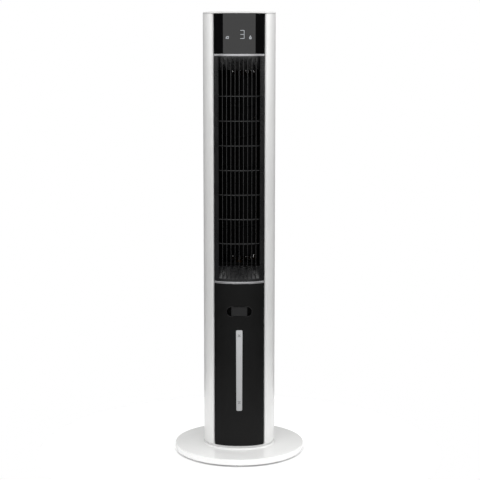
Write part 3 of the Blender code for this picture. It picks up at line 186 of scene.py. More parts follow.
# The colour of moulded plastic drifts over about a hand's breadth, and its gloss over a thumb's.
FLOW_SIZE = 0.090
HAZE_SIZE = 0.022

# Polished white ABS: bright and slightly cool, with clear soft reflections. Its orange peel
# is about 2 mm across, drawn at 4 mm so that it shows.
base_white = moulded("polished_white_abs", ("EFEFEE", "F2F2F1"), (0.12, 0.17), 0.004, 0.000002)

dish_low, dish_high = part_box("base_cover")
dish_radius = dish_high.x
dish_top = dish_high.z - COLLAR_RISE
dish_profile = ([(0.0, dish_top)]
                + arc((dish_radius - DISH_TOP_EDGE, dish_top - DISH_TOP_EDGE), DISH_TOP_EDGE, 90, 0, 6)
                + arc((dish_radius - DISH_LOWER_EDGE, dish_low.z + DISH_LOWER_EDGE),
                      DISH_LOWER_EDGE, 0, -90, 4)
                + [(dish_radius - DISH_WALL, dish_low.z),
                   (dish_radius - DISH_WALL, dish_top - DISH_WALL), (0.0, dish_top - DISH_WALL)])
base_dish = make_shape("base_dish", *turned(dish_profile, (0.0, 0.0), 128))
settle(base_dish, base_white, "column", ["base_cover"])


# Feet: turned discs of soft light grey rubber, glued into the plate under the dish. Rubber
# is matte and a little dusty.

FOOT_EDGE = 0.0012

foot_rubber = moulded("light_grey_rubber", ("C4C4C2", "CCCCCA"), (0.70, 0.85), 0.0015, 0.00006, specular=0.3)
for number in range(1, 9):
    foot_low, foot_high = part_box(f"foot_{number}")
    foot_middle = (foot_low + foot_high) / 2
    foot_radius = (foot_high.x - foot_low.x) / 2
    foot_profile = ([(0.0, foot_low.z)]
                    + arc((foot_radius - FOOT_EDGE, foot_low.z + FOOT_EDGE), FOOT_EDGE, -90, 0, 4)
                    + [(foot_radius, foot_high.z), (0.0, foot_high.z)])
    foot = make_shape(f"rubber_foot_{number}", *turned(foot_profile, foot_middle, 32))
    settle(foot, foot_rubber, "column", [f"foot_{number}"])


# Base plate and plinth: the plate is black ABS straight from the mould, clipped under the
# dish. The plinth is white ABS, screwed through the dish to the plate, and holds the column.

# Spark-eroded black ABS: nearly black, dull and even. Its grain is 0.3 mm, drawn at 1.2 mm.
plain_black = moulded("grained_black_abs", ("151516", "1A1A1B"), (0.50, 0.60), 0.0012, 0.00003, specular=0.4)


def dress(names, material):
    """Gives CAD nodes whose shape is right a better finish."""
    for name in names:
        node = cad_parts[name]
        if not node.material_slots:
            node.data.materials.append(material)
        for slot in node.material_slots:
            slot.material = material


dress(["base_pan"], plain_black)
dress(["column_plinth"], base_white)


# Side shells: two long white ABS mouldings, extruded in plan from the rolled lip beside the
# black front round to the rear covers. They clip onto the plinth and hold everything else.

SQUARENESS = 2.25
FRONT_SETBACK = 0.001         # the black front pieces lie this far inside the shells
SHELL_WALL = 0.0025
LIP_RADIUS = 0.0035
ROLL_REACH = 1.8              # a rolled edge has run out into the shell after this many radii
REAR_EDGE = 0.0006
SHELL_END_EDGE = 0.0005

half_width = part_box("shell_right")[1].x
half_depth = FRONT_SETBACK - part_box("tank_front")[0].y
shell_low, shell_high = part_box("shell_right")
opening_half = shell_low.x


def depth_at(x, inset):
    """Gives how far the column's plan, drawn in by an inset, reaches in Y at one X."""
    share = min(abs(x) / (half_width - inset), 1.0)
    return (half_depth - inset) * (1 - share ** SQUARENESS) ** (1 / SQUARENESS)


def plan_side(start_x, inset, steps):
    """Gives the plan's right side, from a front X round to the same X at the rear."""
    limit = math.acos((start_x / (half_width - inset)) ** (SQUARENESS / 2))
    points = []
    for i in range(steps + 1):
        turn = -limit + 2 * limit * i / steps
        across = math.cos(turn) ** (2 / SQUARENESS) * (half_width - inset)
        along = math.copysign(abs(math.sin(turn)) ** (2 / SQUARENESS), turn) * (half_depth - inset)
        points.append((across, along))
    return points


def plan_ring(inset, z, steps=160):
    """Gives the column's whole plan at one height, drawn in by an inset."""
    ring = []
    for i in range(steps):
        turn = 2 * math.pi * i / steps
        across = math.copysign(abs(math.cos(turn)) ** (2 / SQUARENESS), math.cos(turn))
        along = math.copysign(abs(math.sin(turn)) ** (2 / SQUARENESS), math.sin(turn))
        ring.append((across * (half_width - inset), along * (half_depth - inset), z))
    return ring


def rolled_edge(radius, steps):
    """Gives a shell's rounded front edge, from its outer face to its face beside the front."""
    centre = (opening_half + radius, -depth_at(opening_half + radius, radius))
    outer = plan_side(opening_half + radius, 0.0, 64)
    slope = math.degrees(math.atan2(outer[1][1] - outer[0][1], outer[1][0] - outer[0][0]))
    return arc(centre, radius, slope - 90, -180, steps)


# Moulded white ABS as on the dish, but satin, since it is left as it leaves the mould.
shell_white = moulded("moulded_white_abs", ("EBEBEA", "EFEFEE"), (0.28, 0.36), 0.003, 0.000003)

front_roll = rolled_edge(LIP_RADIUS, 10)[::-1]
rear_roll = [(x, -y) for x, y in rolled_edge(REAR_EDGE, 4)]
outer_face = plan_side(opening_half + LIP_RADIUS * ROLL_REACH, 0.0, 56)
rear_limit = opening_half + REAR_EDGE * ROLL_REACH
outer_face = [point for point in outer_face if point[1] < 0 or point[0] > rear_limit]
inner_face = plan_side(opening_half, SHELL_WALL, 40)
inner_face = [point for point in inner_face if point[1] > 0 or point[0] > opening_half + LIP_RADIUS]
shell_plan = front_roll + outer_face + rear_roll + inner_face[::-1]
for name, side in (("shell_right", 1), ("shell_left", -1)):
    rings = []
    for z, inset in ((shell_low.z, SHELL_END_EDGE), (shell_low.z + SHELL_END_EDGE, 0.0),
                     (shell_high.z - SHELL_END_EDGE, 0.0), (shell_high.z, SHELL_END_EDGE)):
        ring = []
        for x, y in shell_plan:
            shrink = 1 - inset / half_width
            ring.append((side * (opening_half + (x - opening_half) * shrink), y * shrink, z))
        rings.append(ring)
    shell = make_shape(f"side_{name}", *loft(rings))
    settle(shell, shell_white, "column", [name])


# Collar: a low boss on the dish, moulded with it, that follows the column's foot. It has a
# rounded top edge and a fillet where it runs out into the dish.

COLLAR_FILLET = 0.0018
COLLAR_EDGE = 0.0012

collar_rings = [plan_ring(-COLLAR_FILLET, dish_top - DISH_WALL / 2)]
for out, rise in arc((COLLAR_FILLET, COLLAR_FILLET), COLLAR_FILLET, -90, -180, 6):
    collar_rings.append(plan_ring(-out, dish_top + rise))
for inset, rise in arc((COLLAR_EDGE, 0.0), COLLAR_EDGE, 180, 90, 5):
    collar_rings.append(plan_ring(inset, dish_high.z - COLLAR_EDGE + rise))
collar = make_shape("column_collar", *loft(collar_rings))
settle(collar, base_white, "column")


# Rear covers: white ABS plates between the shells, below and above the intake grille. Sunk
# cross-head screws hold them; the lower one has the hole for the cord's gland.

COVER_WALL = 0.003
COVER_EDGE = 0.0006
GLAND_HOLE = 0.0063
SCREW_RADIUS = 0.0029
SCREW_SINK = 0.0014
SCREW_X = 0.038
SCREW_MARGIN = 0.014
SCREW_PLAY = 0.0008           # between a sunk screw's head and its seat
SLOPE_STEP = 0.001
TOOL_REACH = 0.2              # how far a cutting tool runs past the piece it cuts


def swept(half_span, steps, section):
    """Sweeps a section across X, to both sides of the middle; section gives its ring at one X."""
    return loft([section(half_span * (2 * i / steps - 1)) for i in range(steps + 1)])


def curved_plate(half_span, insets, heights, side=-1, steps=64):
    """Makes a plate that follows the front (side -1) or the rear (side 1) of the plan."""
    def section(x):
        outer, inner = [side * depth_at(x, inset) for inset in insets]
        low, high = heights
        return [(x, outer, low), (x, inner, low), (x, inner, high), (x, outer, high)]
    return swept(half_span, steps, section)


def join(shape, tool, operation="DIFFERENCE", solver="EXACT"):
    """Cuts a tool out of a shape, or joins it on, and removes the tool."""
    step = shape.modifiers.new("Join", "BOOLEAN")
    step.operation = operation
    step.solver = solver
    step.object = tool
    apply_modifiers(shape)
    bpy.data.objects.remove(tool, do_unlink=True)


def along_y(outline, front, back):
    """Extrudes an outline drawn in X and Z along Y."""
    return loft([[(x, y, z) for x, z in outline] for y in (front, back)])


def along_z(outline, low, high):
    """Raises an outline drawn in X and Y from one height to another."""
    return loft([[(x, y, z) for x, y in outline] for z in (low, high)])


def rear_way_out(x):
    """Gives the direction out of the plan's rear at one X."""
    slope = (depth_at(x + SLOPE_STEP, 0.0) - depth_at(x - SLOPE_STEP, 0.0)) / (2 * SLOPE_STEP)
    return Vector((-slope, 1.0, 0.0)).normalized()


def facing(place, outwards):
    """Gives the move that stands a shape at a place, with its top facing outwards."""
    return Matrix.Translation(place) @ outwards.to_track_quat("Z", "Y").to_matrix().to_4x4()


def counterbore(shape, x, z):
    """Sinks a round seat for a screw's head into a rear cover; gives its floor and way out."""
    surface = Vector((x, depth_at(x, 0.0), z))
    outwards = rear_way_out(x)
    bore = make_shape("bore", *along_z(arc((0, 0), SCREW_RADIUS + SCREW_PLAY, 0, 352.5, 47),
                                       -SCREW_SINK, SCREW_SINK))
    bore.data.transform(facing(surface, outwards))
    join(shape, bore)
    return surface - outwards * SCREW_SINK, outwards


gland_low, gland_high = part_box("inlet_gland")
gland_middle = (gland_low + gland_high) / 2
screw_places = []
for name in ("lower_cover", "upper_cover"):
    cover_low, cover_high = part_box(f"rear_{name}")
    cover = make_shape(name, *curved_plate(cover_high.x, (0.0, COVER_WALL), (cover_low.z, cover_high.z), 1))
    rows = [(cover_low.z + cover_high.z) / 2]
    if name == "lower_cover":
        cord_hole = arc((0.0, gland_middle.z), GLAND_HOLE, 0, 354, 59)
        join(cover, make_shape("cord_hole", *along_y(cord_hole, 0.0, 2 * half_depth)))
        rows = [cover_low.z + SCREW_MARGIN, cover_high.z - SCREW_MARGIN]
    for z in rows:
        for x in (-SCREW_X, SCREW_X):
            screw_places.append(counterbore(cover, x, z))
    settle(cover, shell_white, "column", [f"rear_{name}"], COVER_EDGE)


# Screws: zinc plated steel with a domed head and a cross recess. Six hold the rear covers,
# and four under the base hold its plate and the plinth to the dish.

HEAD_RISE = 0.0016
HEAD_RIM = 0.35               # the share of the head's height that its rim has
RECESS_LENGTH = 0.0038
RECESS_WALL = 0.0008
RECESS_DEPTH = 0.0010
BASE_SCREW_X = 0.045
SPANGLE_SIZE = 0.004

# Drawn and galvanised steel: grey, with fine zinc spangle of about 4 mm.
steel, steel_shader, place = begin_finish("galvanised_steel", "A2A4A7", 0.38, metallic=1.0)
spangle = add_node(steel, "TexVoronoi", {"Vector": place, "Scale": 1 / SPANGLE_SIZE})
add_node(steel, "ValToRGB", {"Fac": spangle.outputs["Color"]},
         stops=[(0.2, "94969A"), (0.8, "B4B6B8")], into=steel_shader.inputs["Base Color"])
add_node(steel, "MapRange", {"Value": spangle.outputs["Distance"], "To Min": 0.30, "To Max": 0.50},
         into=steel_shader.inputs["Roughness"])
base_low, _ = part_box("base_pan")
for x, y in ((-1, -1), (1, -1), (1, 1), (-1, 1)):
    screw_places.append((Vector((x * BASE_SCREW_X, y * BASE_SCREW_X, base_low.z)), Vector((0.0, 0.0, -1.0))))
for number, (seat, outwards) in enumerate(screw_places, 1):
    turns = [math.radians(turn) for turn in range(15, 91, 15)]
    profile = [(0.0, HEAD_RISE)] + [(SCREW_RADIUS * math.sin(turn),
                                     HEAD_RISE * (HEAD_RIM + (1 - HEAD_RIM) * math.cos(turn)))
                                    for turn in turns] + [(SCREW_RADIUS, 0.0), (0.0, 0.0)]
    head = make_shape(f"cross_head_screw_{number}", *turned(profile, (0.0, 0.0), 32))
    for half_x, half_y in ((RECESS_LENGTH / 2, RECESS_WALL / 2), (RECESS_WALL / 2, RECESS_LENGTH / 2)):
        outline = [(-half_x, -half_y), (half_x, -half_y), (half_x, half_y), (-half_x, half_y)]
        join(head, make_shape("recess", *along_z(outline, HEAD_RISE - RECESS_DEPTH, 2 * HEAD_RISE)))
    head.data.transform(facing(seat, outwards))
    settle(head, steel, "column")


# Cap: a white ABS lid with a soft rim, clipped onto the shells. A rounded opening takes the
# control inlay.

CAP_EDGE = 0.0026
CAP_LOWER_EDGE = 0.0003
CAP_OPENING_EDGE = 0.0004
INLAY_CORNER = 0.006
INLAY_GAP = 0.0003

cap_low, cap_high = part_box("top_cap")
inlay_low, inlay_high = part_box("control_panel")


def rounded(low, high, corner, steps=8):
    """Gives the outline of a rectangle with round corners, between two corner points."""
    left, right = low[0] + corner, high[0] - corner
    bottom, top = low[1] + corner, high[1] - corner
    outline = []
    for quarter, centre in enumerate(((right, top), (left, top), (left, bottom), (right, bottom))):
        outline += arc(centre, corner, quarter * 90, quarter * 90 + 90, steps)
    return outline


cap_rings = [plan_ring(CAP_LOWER_EDGE, cap_low.z), plan_ring(0.0, cap_low.z + CAP_LOWER_EDGE)]
for inset, rise in arc((CAP_EDGE, 0.0), CAP_EDGE, 180, 90, 6):
    cap_rings.append(plan_ring(inset, cap_high.z - CAP_EDGE + rise))
cap = make_shape("cap", *loft(cap_rings))
opening_low = (inlay_low.x - INLAY_GAP, inlay_low.y - INLAY_GAP)
opening_high = (inlay_high.x + INLAY_GAP, inlay_high.y + INLAY_GAP)
join(cap, make_shape("cap_opening", *along_z(rounded(opening_low, opening_high, INLAY_CORNER),
                                             cap_low.z - TOOL_REACH, cap_high.z + TOOL_REACH)))
settle(cap, shell_white, "column", ["top_cap"], CAP_OPENING_EDGE)


# Control inlay: a gloss black acrylic plate set into the cap, with five round keys. White
# symbols are screen printed on the keys.

INLAY_WALL = 0.0015
INLAY_EDGE = 0.0003
KEY_RADIUS = 0.0045
KEY_GAP = 0.0003

# Gloss black acrylic: deep black with clear, sharp reflections. Its faint waviness is
# about 15 mm across.
gloss_black = moulded("gloss_black_acrylic", ("0C0C0D", "0E0E0F"), (0.04, 0.06), 0.015, 0.000004)

inlay = make_shape("control_inlay", *along_z(rounded(inlay_low, inlay_high, INLAY_CORNER - INLAY_GAP),
                                             inlay_low.z, inlay_high.z))
skirt_low = inlay_low + Vector((INLAY_WALL, INLAY_WALL, -INLAY_WALL))
skirt_high = inlay_high - Vector((INLAY_WALL, INLAY_WALL, INLAY_WALL))
join(inlay, make_shape("skirt", *along_z(rounded(skirt_low, skirt_high, INLAY_CORNER - INLAY_WALL),
                                         skirt_low.z, skirt_high.z)))
key_places = []
for number in range(1, 6):
    key_low, key_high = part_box(f"button_{number}")
    key_middle = (key_low + key_high) / 2
    key_places.append(key_middle)
    join(inlay, make_shape("key_hole", *along_z(arc(key_middle, KEY_RADIUS + KEY_GAP, 0, 352.5, 47),
                                                inlay_low.z, cap_high.z)))
settle(inlay, gloss_black, "column", ["control_panel"], INLAY_EDGE)


# Keys: black ABS with a shallow dish for the fingertip and a flange that keeps them under
# the inlay. Each carries one printed symbol: power, speed, swing, cooling and timer.

KEY_DISH = 0.0003
KEY_DISH_SHAPE = ((0.0, 1.0), (0.5, 0.8), (0.85, 0.1))    # shares of the key's radius and of the dish
KEY_EDGE = 0.0002
KEY_FLANGE = 0.001
SYMBOL_LINE = 0.0005
SYMBOL_LIFT = 0.0001
SYMBOL_SINK = 0.6             # a symbol's ink lies this share of the dish's depth below the rim

key_black = moulded("satin_black_abs", ("19191A", "1E1E1F"), (0.35, 0.42), 0.0012, 0.00001)
symbol_ink, _, _ = begin_finish("white_screen_ink", "D8D8D6", 0.5)


def stroke(points, width, closed=False):
    """Gives the four corners of each straight piece of a drawn line, in its own plane."""
    pairs = list(zip(points, points[1:] + (points[:1] if closed else [])))
    quads = []
    for (x0, y0), (x1, y1) in pairs[:len(points) if closed else len(points) - 1]:
        length = math.hypot(x1 - x0, y1 - y0)
        dx, dy = (x1 - x0) / length * width / 2, (y1 - y0) / length * width / 2
        quads.append([(x0 - dx - dy, y0 - dy + dx), (x0 - dx + dy, y0 - dy - dx),
                      (x1 + dx + dy, y1 + dy - dx), (x1 + dx - dy, y1 + dy + dx)])
    return quads


def thicken(quads, place, depths):
    """Makes flat quads into thin closed shapes; place puts a drawn point at one of two depths."""
    points = [place(x, y, depth) for quad in quads for depth in depths for x, y in quad]
    sides = ((0, 1, 2, 3), (4, 5, 6, 7), (0, 1, 5, 4), (1, 2, 6, 5), (2, 3, 7, 6), (3, 0, 4, 7))
    return points, [tuple(8 * i + k for k in side) for i in range(len(quads)) for side in sides]


# Each symbol is a list of lines drawn from the key's middle, with the closed ones marked.
symbols = [
    [(arc((0, 0), 0.0017, 120, 420, 16), False), ([(0, 0.0006), (0, 0.0023)], False)],
    [([(-0.002, -0.0015), (-0.002, -0.0005)], False), ([(0, -0.0015), (0, 0.0005)], False),
     ([(0.002, -0.0015), (0.002, 0.0018)], False)],
    [(arc((0, -0.001), 0.0022, 30, 150, 8), False),
     ([(-0.0028, 0.0008), (-0.0019, 0.0001), (-0.0008, 0.0004)], False),
     ([(0.0028, 0.0008), (0.0019, 0.0001), (0.0008, 0.0004)], False)],
    [([(0, 0.0023)] + arc((0, -0.0007), 0.0014, 30, -210, 12), True)],
    [(arc((0, 0), 0.0020, 0, 345, 23), True), ([(0, 0.0011), (0, 0), (0.0009, -0.0005)], False)],
]
for number, (middle, lines) in enumerate(zip(key_places, symbols), 1):
    low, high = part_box(f"button_{number}")
    flange = (high.x - low.x) / 2
    shoulder = low.z + KEY_FLANGE
    profile = [(KEY_RADIUS * out, high.z - KEY_DISH * down) for out, down in KEY_DISH_SHAPE]
    profile += [(KEY_RADIUS - KEY_EDGE, high.z), (KEY_RADIUS, high.z - KEY_EDGE),
                (KEY_RADIUS, shoulder), (flange, shoulder), (flange, low.z), (0.0, low.z)]
    key = make_shape(f"key_{number}", *turned(profile, middle, 40))
    settle(key, key_black, f"push_{number}", [f"button_{number}"])
    ink_height = high.z - KEY_DISH * SYMBOL_SINK
    quads = [quad for line, closed in lines for quad in stroke(line, SYMBOL_LINE, closed)]
    symbol = make_shape(f"key_symbol_{number}", *thicken(
        quads, lambda x, y, lift: (middle.x + x, middle.y + y, ink_height + lift), (SYMBOL_LIFT, -KEY_DISH)))
    settle(symbol, symbol_ink, f"push_{number}")


# Display: a gloss black acrylic lens between the shells. Behind it sit a circuit board and
# the digit's light guide, whose lit segments and two small icons show through.

LENS_WALL = 0.003
LENS_CORNER = 0.0022
LIT_DEPTH = 0.0002
LIT_STRENGTH = 0.42

lens_low, lens_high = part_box("display_lens")
corner_turns = [math.radians(15 * i) for i in range(6, -1, -1)]
corner_xs = [lens_high.x - LENS_CORNER * (1 - math.sin(turn)) for turn in corner_turns]
lens_xs = corner_xs + [corner_xs[-1] * (1 - i / 30) for i in range(1, 60)] + [-x for x in corner_xs[::-1]]
lens_rings = []
for x in lens_xs:
    past = max(abs(x) - (lens_high.x - LENS_CORNER), 0.0)
    drop = LENS_CORNER - math.sqrt(max(LENS_CORNER ** 2 - past ** 2, 0.0))
    outer = -depth_at(x, FRONT_SETBACK)
    inner = -depth_at(x, FRONT_SETBACK + LENS_WALL)
    lens_rings.append([(x, outer, lens_low.z), (x, inner, lens_low.z), (x, inner, lens_high.z - drop),
                       (x, outer, lens_high.z - drop)])
lens = make_shape("front_lens", *loft(lens_rings))
settle(lens, gloss_black, "column", ["display_lens"])

# Lit segments: a soft cool white glow, dimmed by the dark lens.
lit, lit_shader, _ = begin_finish("lit_segments", "6E7073", 0.4)
lit_shader.inputs["Emission Color"].default_value = linear("D5DAE0")
lit_shader.inputs["Emission Strength"].default_value = LIT_STRENGTH

DIGIT_LEFT, DIGIT_RIGHT = 0.0026, 0.0116
DIGIT_FOOT, DIGIT_HEAD = 1.0162, 1.0350
SEGMENT_WIDTH = 0.0014
SEGMENT_GAP = 0.0006
ICON_WIDTH = 0.0016
ICON_HEIGHT = 1.0186
SCREEN_ICON_X = -0.0282
DROP_ICON_X = 0.0262


def on_front(quads, inset):
    """Lays flat quads, drawn in X and Z, on the column's front as thin raised shapes."""
    return thicken(quads, lambda x, z, depth: (x, -depth_at(x, depth), z), (inset, inset + 2 * LIT_DEPTH))


digit_middle = (DIGIT_FOOT + DIGIT_HEAD) / 2
digit = []
for z in (DIGIT_FOOT, digit_middle, DIGIT_HEAD):
    digit += stroke([(DIGIT_LEFT + SEGMENT_GAP, z), (DIGIT_RIGHT - SEGMENT_GAP, z)], SEGMENT_WIDTH)
for low, high in ((DIGIT_FOOT, digit_middle), (digit_middle, DIGIT_HEAD)):
    digit += stroke([(DIGIT_RIGHT, low + SEGMENT_GAP), (DIGIT_RIGHT, high - SEGMENT_GAP)], SEGMENT_WIDTH)
digit_shape = make_shape("lit_digit", *on_front(digit, FRONT_SETBACK - LIT_DEPTH / 2))
settle(digit_shape, lit, "column")

screen_icon = [(-0.0028, -0.0023), (0.0028, -0.0023), (0.0028, 0.0023), (-0.0010, 0.0023), (-0.0010, 0.0)]
drop_icon = [(0.0, 0.0036)] + arc((0.0, -0.0010), 0.0022, 25, -205, 10)
icons = []
for x, line, closed in ((SCREEN_ICON_X, screen_icon, False),
                        (SCREEN_ICON_X, [(-0.0028, 0.0004), (-0.0010, 0.0004)], False),
                        (DROP_ICON_X, drop_icon, True),
                        (DROP_ICON_X, [(-0.0006, -0.0012), (0.0014, -0.0012)], False)):
    icons += stroke([(px + x, pz + ICON_HEIGHT) for px, pz in line], ICON_WIDTH, closed)
icon_shape = make_shape("lit_icons", *on_front(icons, FRONT_SETBACK - LIT_DEPTH / 2))
settle(icon_shape, lit, "column")


# Trims: two thin ABS strips painted silver, clipped in above and below the grille. They lie
# half a millimetre proud of the black pieces.

TRIM_SETBACK = 0.0005
TRIM_BACK = 0.004
TRIM_EDGE = 0.0008
FLAKE_SIZE = 0.001

# Silver paint over ABS: aluminium flake of 0.02 mm under a thin clear coat, drawn at 1 mm.
silver, silver_shader, place = begin_finish("silver_painted_abs", "B8B8BA", 0.40, metallic=0.75)
flake = add_node(silver, "TexNoise", {"Vector": place, "Scale": 1 / FLAKE_SIZE, "Detail": 2.0})
add_node(silver, "ValToRGB", {"Fac": flake.outputs["Fac"]},
         stops=[(0.4, "B0B0B2"), (0.6, "C6C6C8")], into=silver_shader.inputs["Base Color"])
add_node(silver, "Bump", {"Height": flake.outputs["Fac"], "Strength": 1.0, "Distance": 0.00001},
         into=silver_shader.inputs["Normal"])
for name in ("lower_trim", "upper_trim"):
    low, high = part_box(name)
    strip = make_shape(f"{name}_strip", *curved_plate(high.x, (TRIM_SETBACK, TRIM_BACK), (low.z, high.z)))
    settle(strip, silver, "column", [name], TRIM_EDGE, steps=3)


# Front grille: one deep black ABS moulding. Eleven upright fins and seven cross ribs span
# the air opening, and sloping ramps above and below guide the air to it.

GRILLE_WALL = 0.003
FRAME_SIDE = 0.0104
FRAME_BOTTOM = 0.0065
FRAME_TOP = 0.0015
RAMP_WALL = 0.0028
RAMP_RISE = 0.0262
RAMP_DROP = 0.0315
RAMP_BACK = -0.046
THROAT_WALL = 0.002
FIN_PITCH = 0.010
FIN_COUNT = 11
FIN_WIDTH = 0.0019
FIN_BACK = 0.007
RIB_FIRST = 0.8809
RIB_PITCH = 0.0588
RIB_COUNT = 7
RIB_HEIGHT = 0.0025
RIB_FRONT = 0.003
PIVOT_HOLE = 0.0018
PIVOT_SETBACK = 0.024         # the vanes' pins stand this far behind the column's front
CAD_GAP = 0.0003              # what the CAD leaves between neighbours

# Moulded black ABS, a little glossier than the drawer's front: the fins' edges catch light.
grille_black = moulded("moulded_black_abs", ("19191A", "1F1F20"), (0.24, 0.32), 0.002, 0.000006, specular=0.6)

grille_low, grille_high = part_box("front_grille")
air_half = grille_high.x - FRAME_SIDE
air_low = grille_low.z - CAD_GAP + FRAME_BOTTOM
air_high = grille_high.z + CAD_GAP - FRAME_TOP


def block(low, high):
    """Gives the points and faces of a straight block, as a tool or as part of a moulding."""
    outline = [(low[0], low[1]), (high[0], low[1]), (high[0], high[1]), (low[0], high[1])]
    return along_z(outline, low[2], high[2])


def add_to(shape, points, faces, operation="UNION"):
    """Joins points and faces onto a moulding."""
    join(shape, make_shape("tool", points, faces), operation, "MANIFOLD")


def gather(shapes):
    """Puts the points and faces of several shapes together as those of one."""
    points = []
    faces = []
    for some_points, some_faces in shapes:
        faces += [tuple(len(points) + k for k in face) for face in some_faces]
        points += some_points
    return points, faces


grille = make_shape("front_air_grille",
                    *curved_plate(grille_high.x, (FRONT_SETBACK, FRONT_SETBACK + GRILLE_WALL),
                                  (grille_low.z, grille_high.z), steps=72))
add_to(grille, *block((-air_half, -TOOL_REACH, air_low), (air_half, 0.0, air_high)), "DIFFERENCE")
ramp_inset = FRONT_SETBACK + GRILLE_WALL / 2
throat_half = air_half + THROAT_WALL / 2
for side in (1, -1):
    wall_xs = sorted((side * (air_half + CAD_GAP), side * (air_half + THROAT_WALL)))
    wall_front = -depth_at(air_half + THROAT_WALL, ramp_inset)
    add_to(grille, *block((wall_xs[0], wall_front, air_low - RAMP_WALL / 2),
                          (wall_xs[1], RAMP_BACK - CAD_GAP, air_high + FRAME_TOP / 2)))
for front_z, back_z, wall in ((air_low, air_low + RAMP_RISE, -RAMP_WALL),
                              (air_high - RAMP_WALL / 2, air_high - RAMP_DROP, RAMP_WALL)):
    add_to(grille, *swept(throat_half, 48, lambda x: [
        (x, -depth_at(x, ramp_inset), front_z), (x, RAMP_BACK, back_z),
        (x, RAMP_BACK, back_z + wall), (x, -depth_at(x, ramp_inset), front_z + wall)]))


def rib_section(x, z):
    """Gives a rib's outline at one X: a round nose in front, and a flat back."""
    nose = RIB_HEIGHT / 2
    back = -depth_at(x, FIN_BACK)
    outline = [(x, nose - depth_at(x, RIB_FRONT) - y, z + rise) for y, rise in arc((0, 0), nose, -90, 90, 6)]
    return outline + [(x, back, z + nose), (x, back, z - nose)]


for i in range(RIB_COUNT):
    add_to(grille, *swept(throat_half, 40, lambda x: rib_section(x, RIB_FIRST - i * RIB_PITCH)))
fins = []
for i in range(FIN_COUNT):
    x = (i - (FIN_COUNT - 1) / 2) * FIN_PITCH
    nose = FIN_WIDTH / 2
    front = -depth_at(abs(x) + nose, FRONT_SETBACK)
    section = [(x + across, front + nose - along) for along, across in arc((0, 0), nose, -90, 90, 6)]
    section += [(x + nose, -depth_at(x, FIN_BACK)), (x - nose, -depth_at(x, FIN_BACK))]
    fins.append(along_z(section, air_low - FRAME_BOTTOM / 2, air_high + FRAME_TOP / 2))
add_to(grille, *gather(fins))
for number in range(1, 6):
    low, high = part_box(f"vane_{number}")
    pivot = ((low.x + high.x) / 2, PIVOT_SETBACK - half_depth)
    add_to(grille, *along_z(arc(pivot, PIVOT_HOLE, 0, 345, 23), grille_low.z, grille_high.z), "DIFFERENCE")
settle(grille, grille_black, "column", ["front_grille"])


# Vanes: five upright black ABS blades behind the grille, thick in the middle and thin at the
# edges. A bar on their cranks turns them together, driven by a geared motor above the third.

# Black ABS with a matte mould finish. Its colour is painted almost black as painted shade,
# so that the inside stays dark behind the fins.
shade_black = moulded("shade_darkened_black_abs", ("040404", "070708"), (0.60, 0.70), 0.0012, 0.00001, specular=0.15)
dress([f"vane_{number}" for number in range(1, 6)] + ["vane_link"], shade_black)


# Blower: a long black wheel of forward-curved blades between discs and rings, all moulded,
# on a ground steel shaft. Its steel motor stands on the duct and a bronze bush holds its foot.

RING_WIDTH = 0.012
BLADE_COUNT = 24
BLADE_DEPTH = 0.0095
BLADE_INSET = 0.001
BLADE_THICKNESS = 0.0010
BLADE_CAMBER = 0.0018
BLADE_TAPER = 0.6             # the share of a blade's thickness that it loses towards its edges
BLADE_ANGLE = 38
DISC_COUNT = 7
DISC_THICKNESS = 0.002
SHAFT_HOLE = 0.0033
PORE_SIZE = 0.000625

wheel_low, wheel_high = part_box("blower_wheel")
wheel_centre = Vector((0.0, (wheel_low.y + wheel_high.y) / 2))
wheel_radius = (wheel_high.x - wheel_low.x) / 2
wheel_parts = []
for i in range(BLADE_COUNT):
    turn = 2 * math.pi * i / BLADE_COUNT
    slant = turn + math.radians(BLADE_ANGLE)
    along = Vector((math.cos(slant), math.sin(slant)))
    across = Vector((-along.y, along.x))
    outwards = Vector((math.cos(turn), math.sin(turn)))
    middle = wheel_centre + outwards * (wheel_radius - BLADE_DEPTH / 2 - BLADE_INSET)
    section = []
    for face_side in (1, -1):
        for k in range(7):
            s = (k / 3 - 1) * face_side
            bow = BLADE_CAMBER * (1 - s * s) + face_side * BLADE_THICKNESS / 2 * (1 - BLADE_TAPER * s * s)
            section.append(middle + along * (s * BLADE_DEPTH / 2) + across * (bow - BLADE_CAMBER / 2))
    wheel_parts.append(along_z(section, wheel_low.z + DISC_THICKNESS / 2, wheel_high.z - DISC_THICKNESS / 2))
for i in range(DISC_COUNT):
    z = wheel_low.z + (wheel_high.z - DISC_THICKNESS - wheel_low.z) * i / (DISC_COUNT - 1)
    inner = SHAFT_HOLE if i in (0, DISC_COUNT - 1) else wheel_radius - RING_WIDTH
    edge = DISC_THICKNESS / 4
    profile = [(inner, z), (wheel_radius - edge, z), (wheel_radius, z + edge),
               (wheel_radius, z + DISC_THICKNESS - edge), (wheel_radius - edge, z + DISC_THICKNESS),
               (inner, z + DISC_THICKNESS)]
    wheel_parts.append(turned(profile, wheel_centre, 72))
wheel = make_shape("blower_drum", *gather(wheel_parts))
# The wheel is painted almost black, as painted shade behind the grille.
settle(wheel, shade_black, "blower", ["blower_wheel"])

dress(["motor_shaft", "blower_axle", "swing_motor", "fan_motor"], steel)

# Sintered bronze: dark with oil, and painted darker still as painted shade deep inside the
# column. It is porous, with pores of about 0.2 mm drawn at 0.6 mm.
bronze, bronze_shader, place = begin_finish("sintered_bronze", "4A3823", 0.45, metallic=1.0)
pores = add_node(bronze, "TexNoise", {"Vector": place, "Scale": 1 / PORE_SIZE, "Detail": 3.0})
add_node(bronze, "ValToRGB", {"Fac": pores.outputs["Fac"]},
         stops=[(0.4, "33261A"), (0.6, "54402A")], into=bronze_shader.inputs["Base Color"])
dress(["lower_bearing"], bronze)
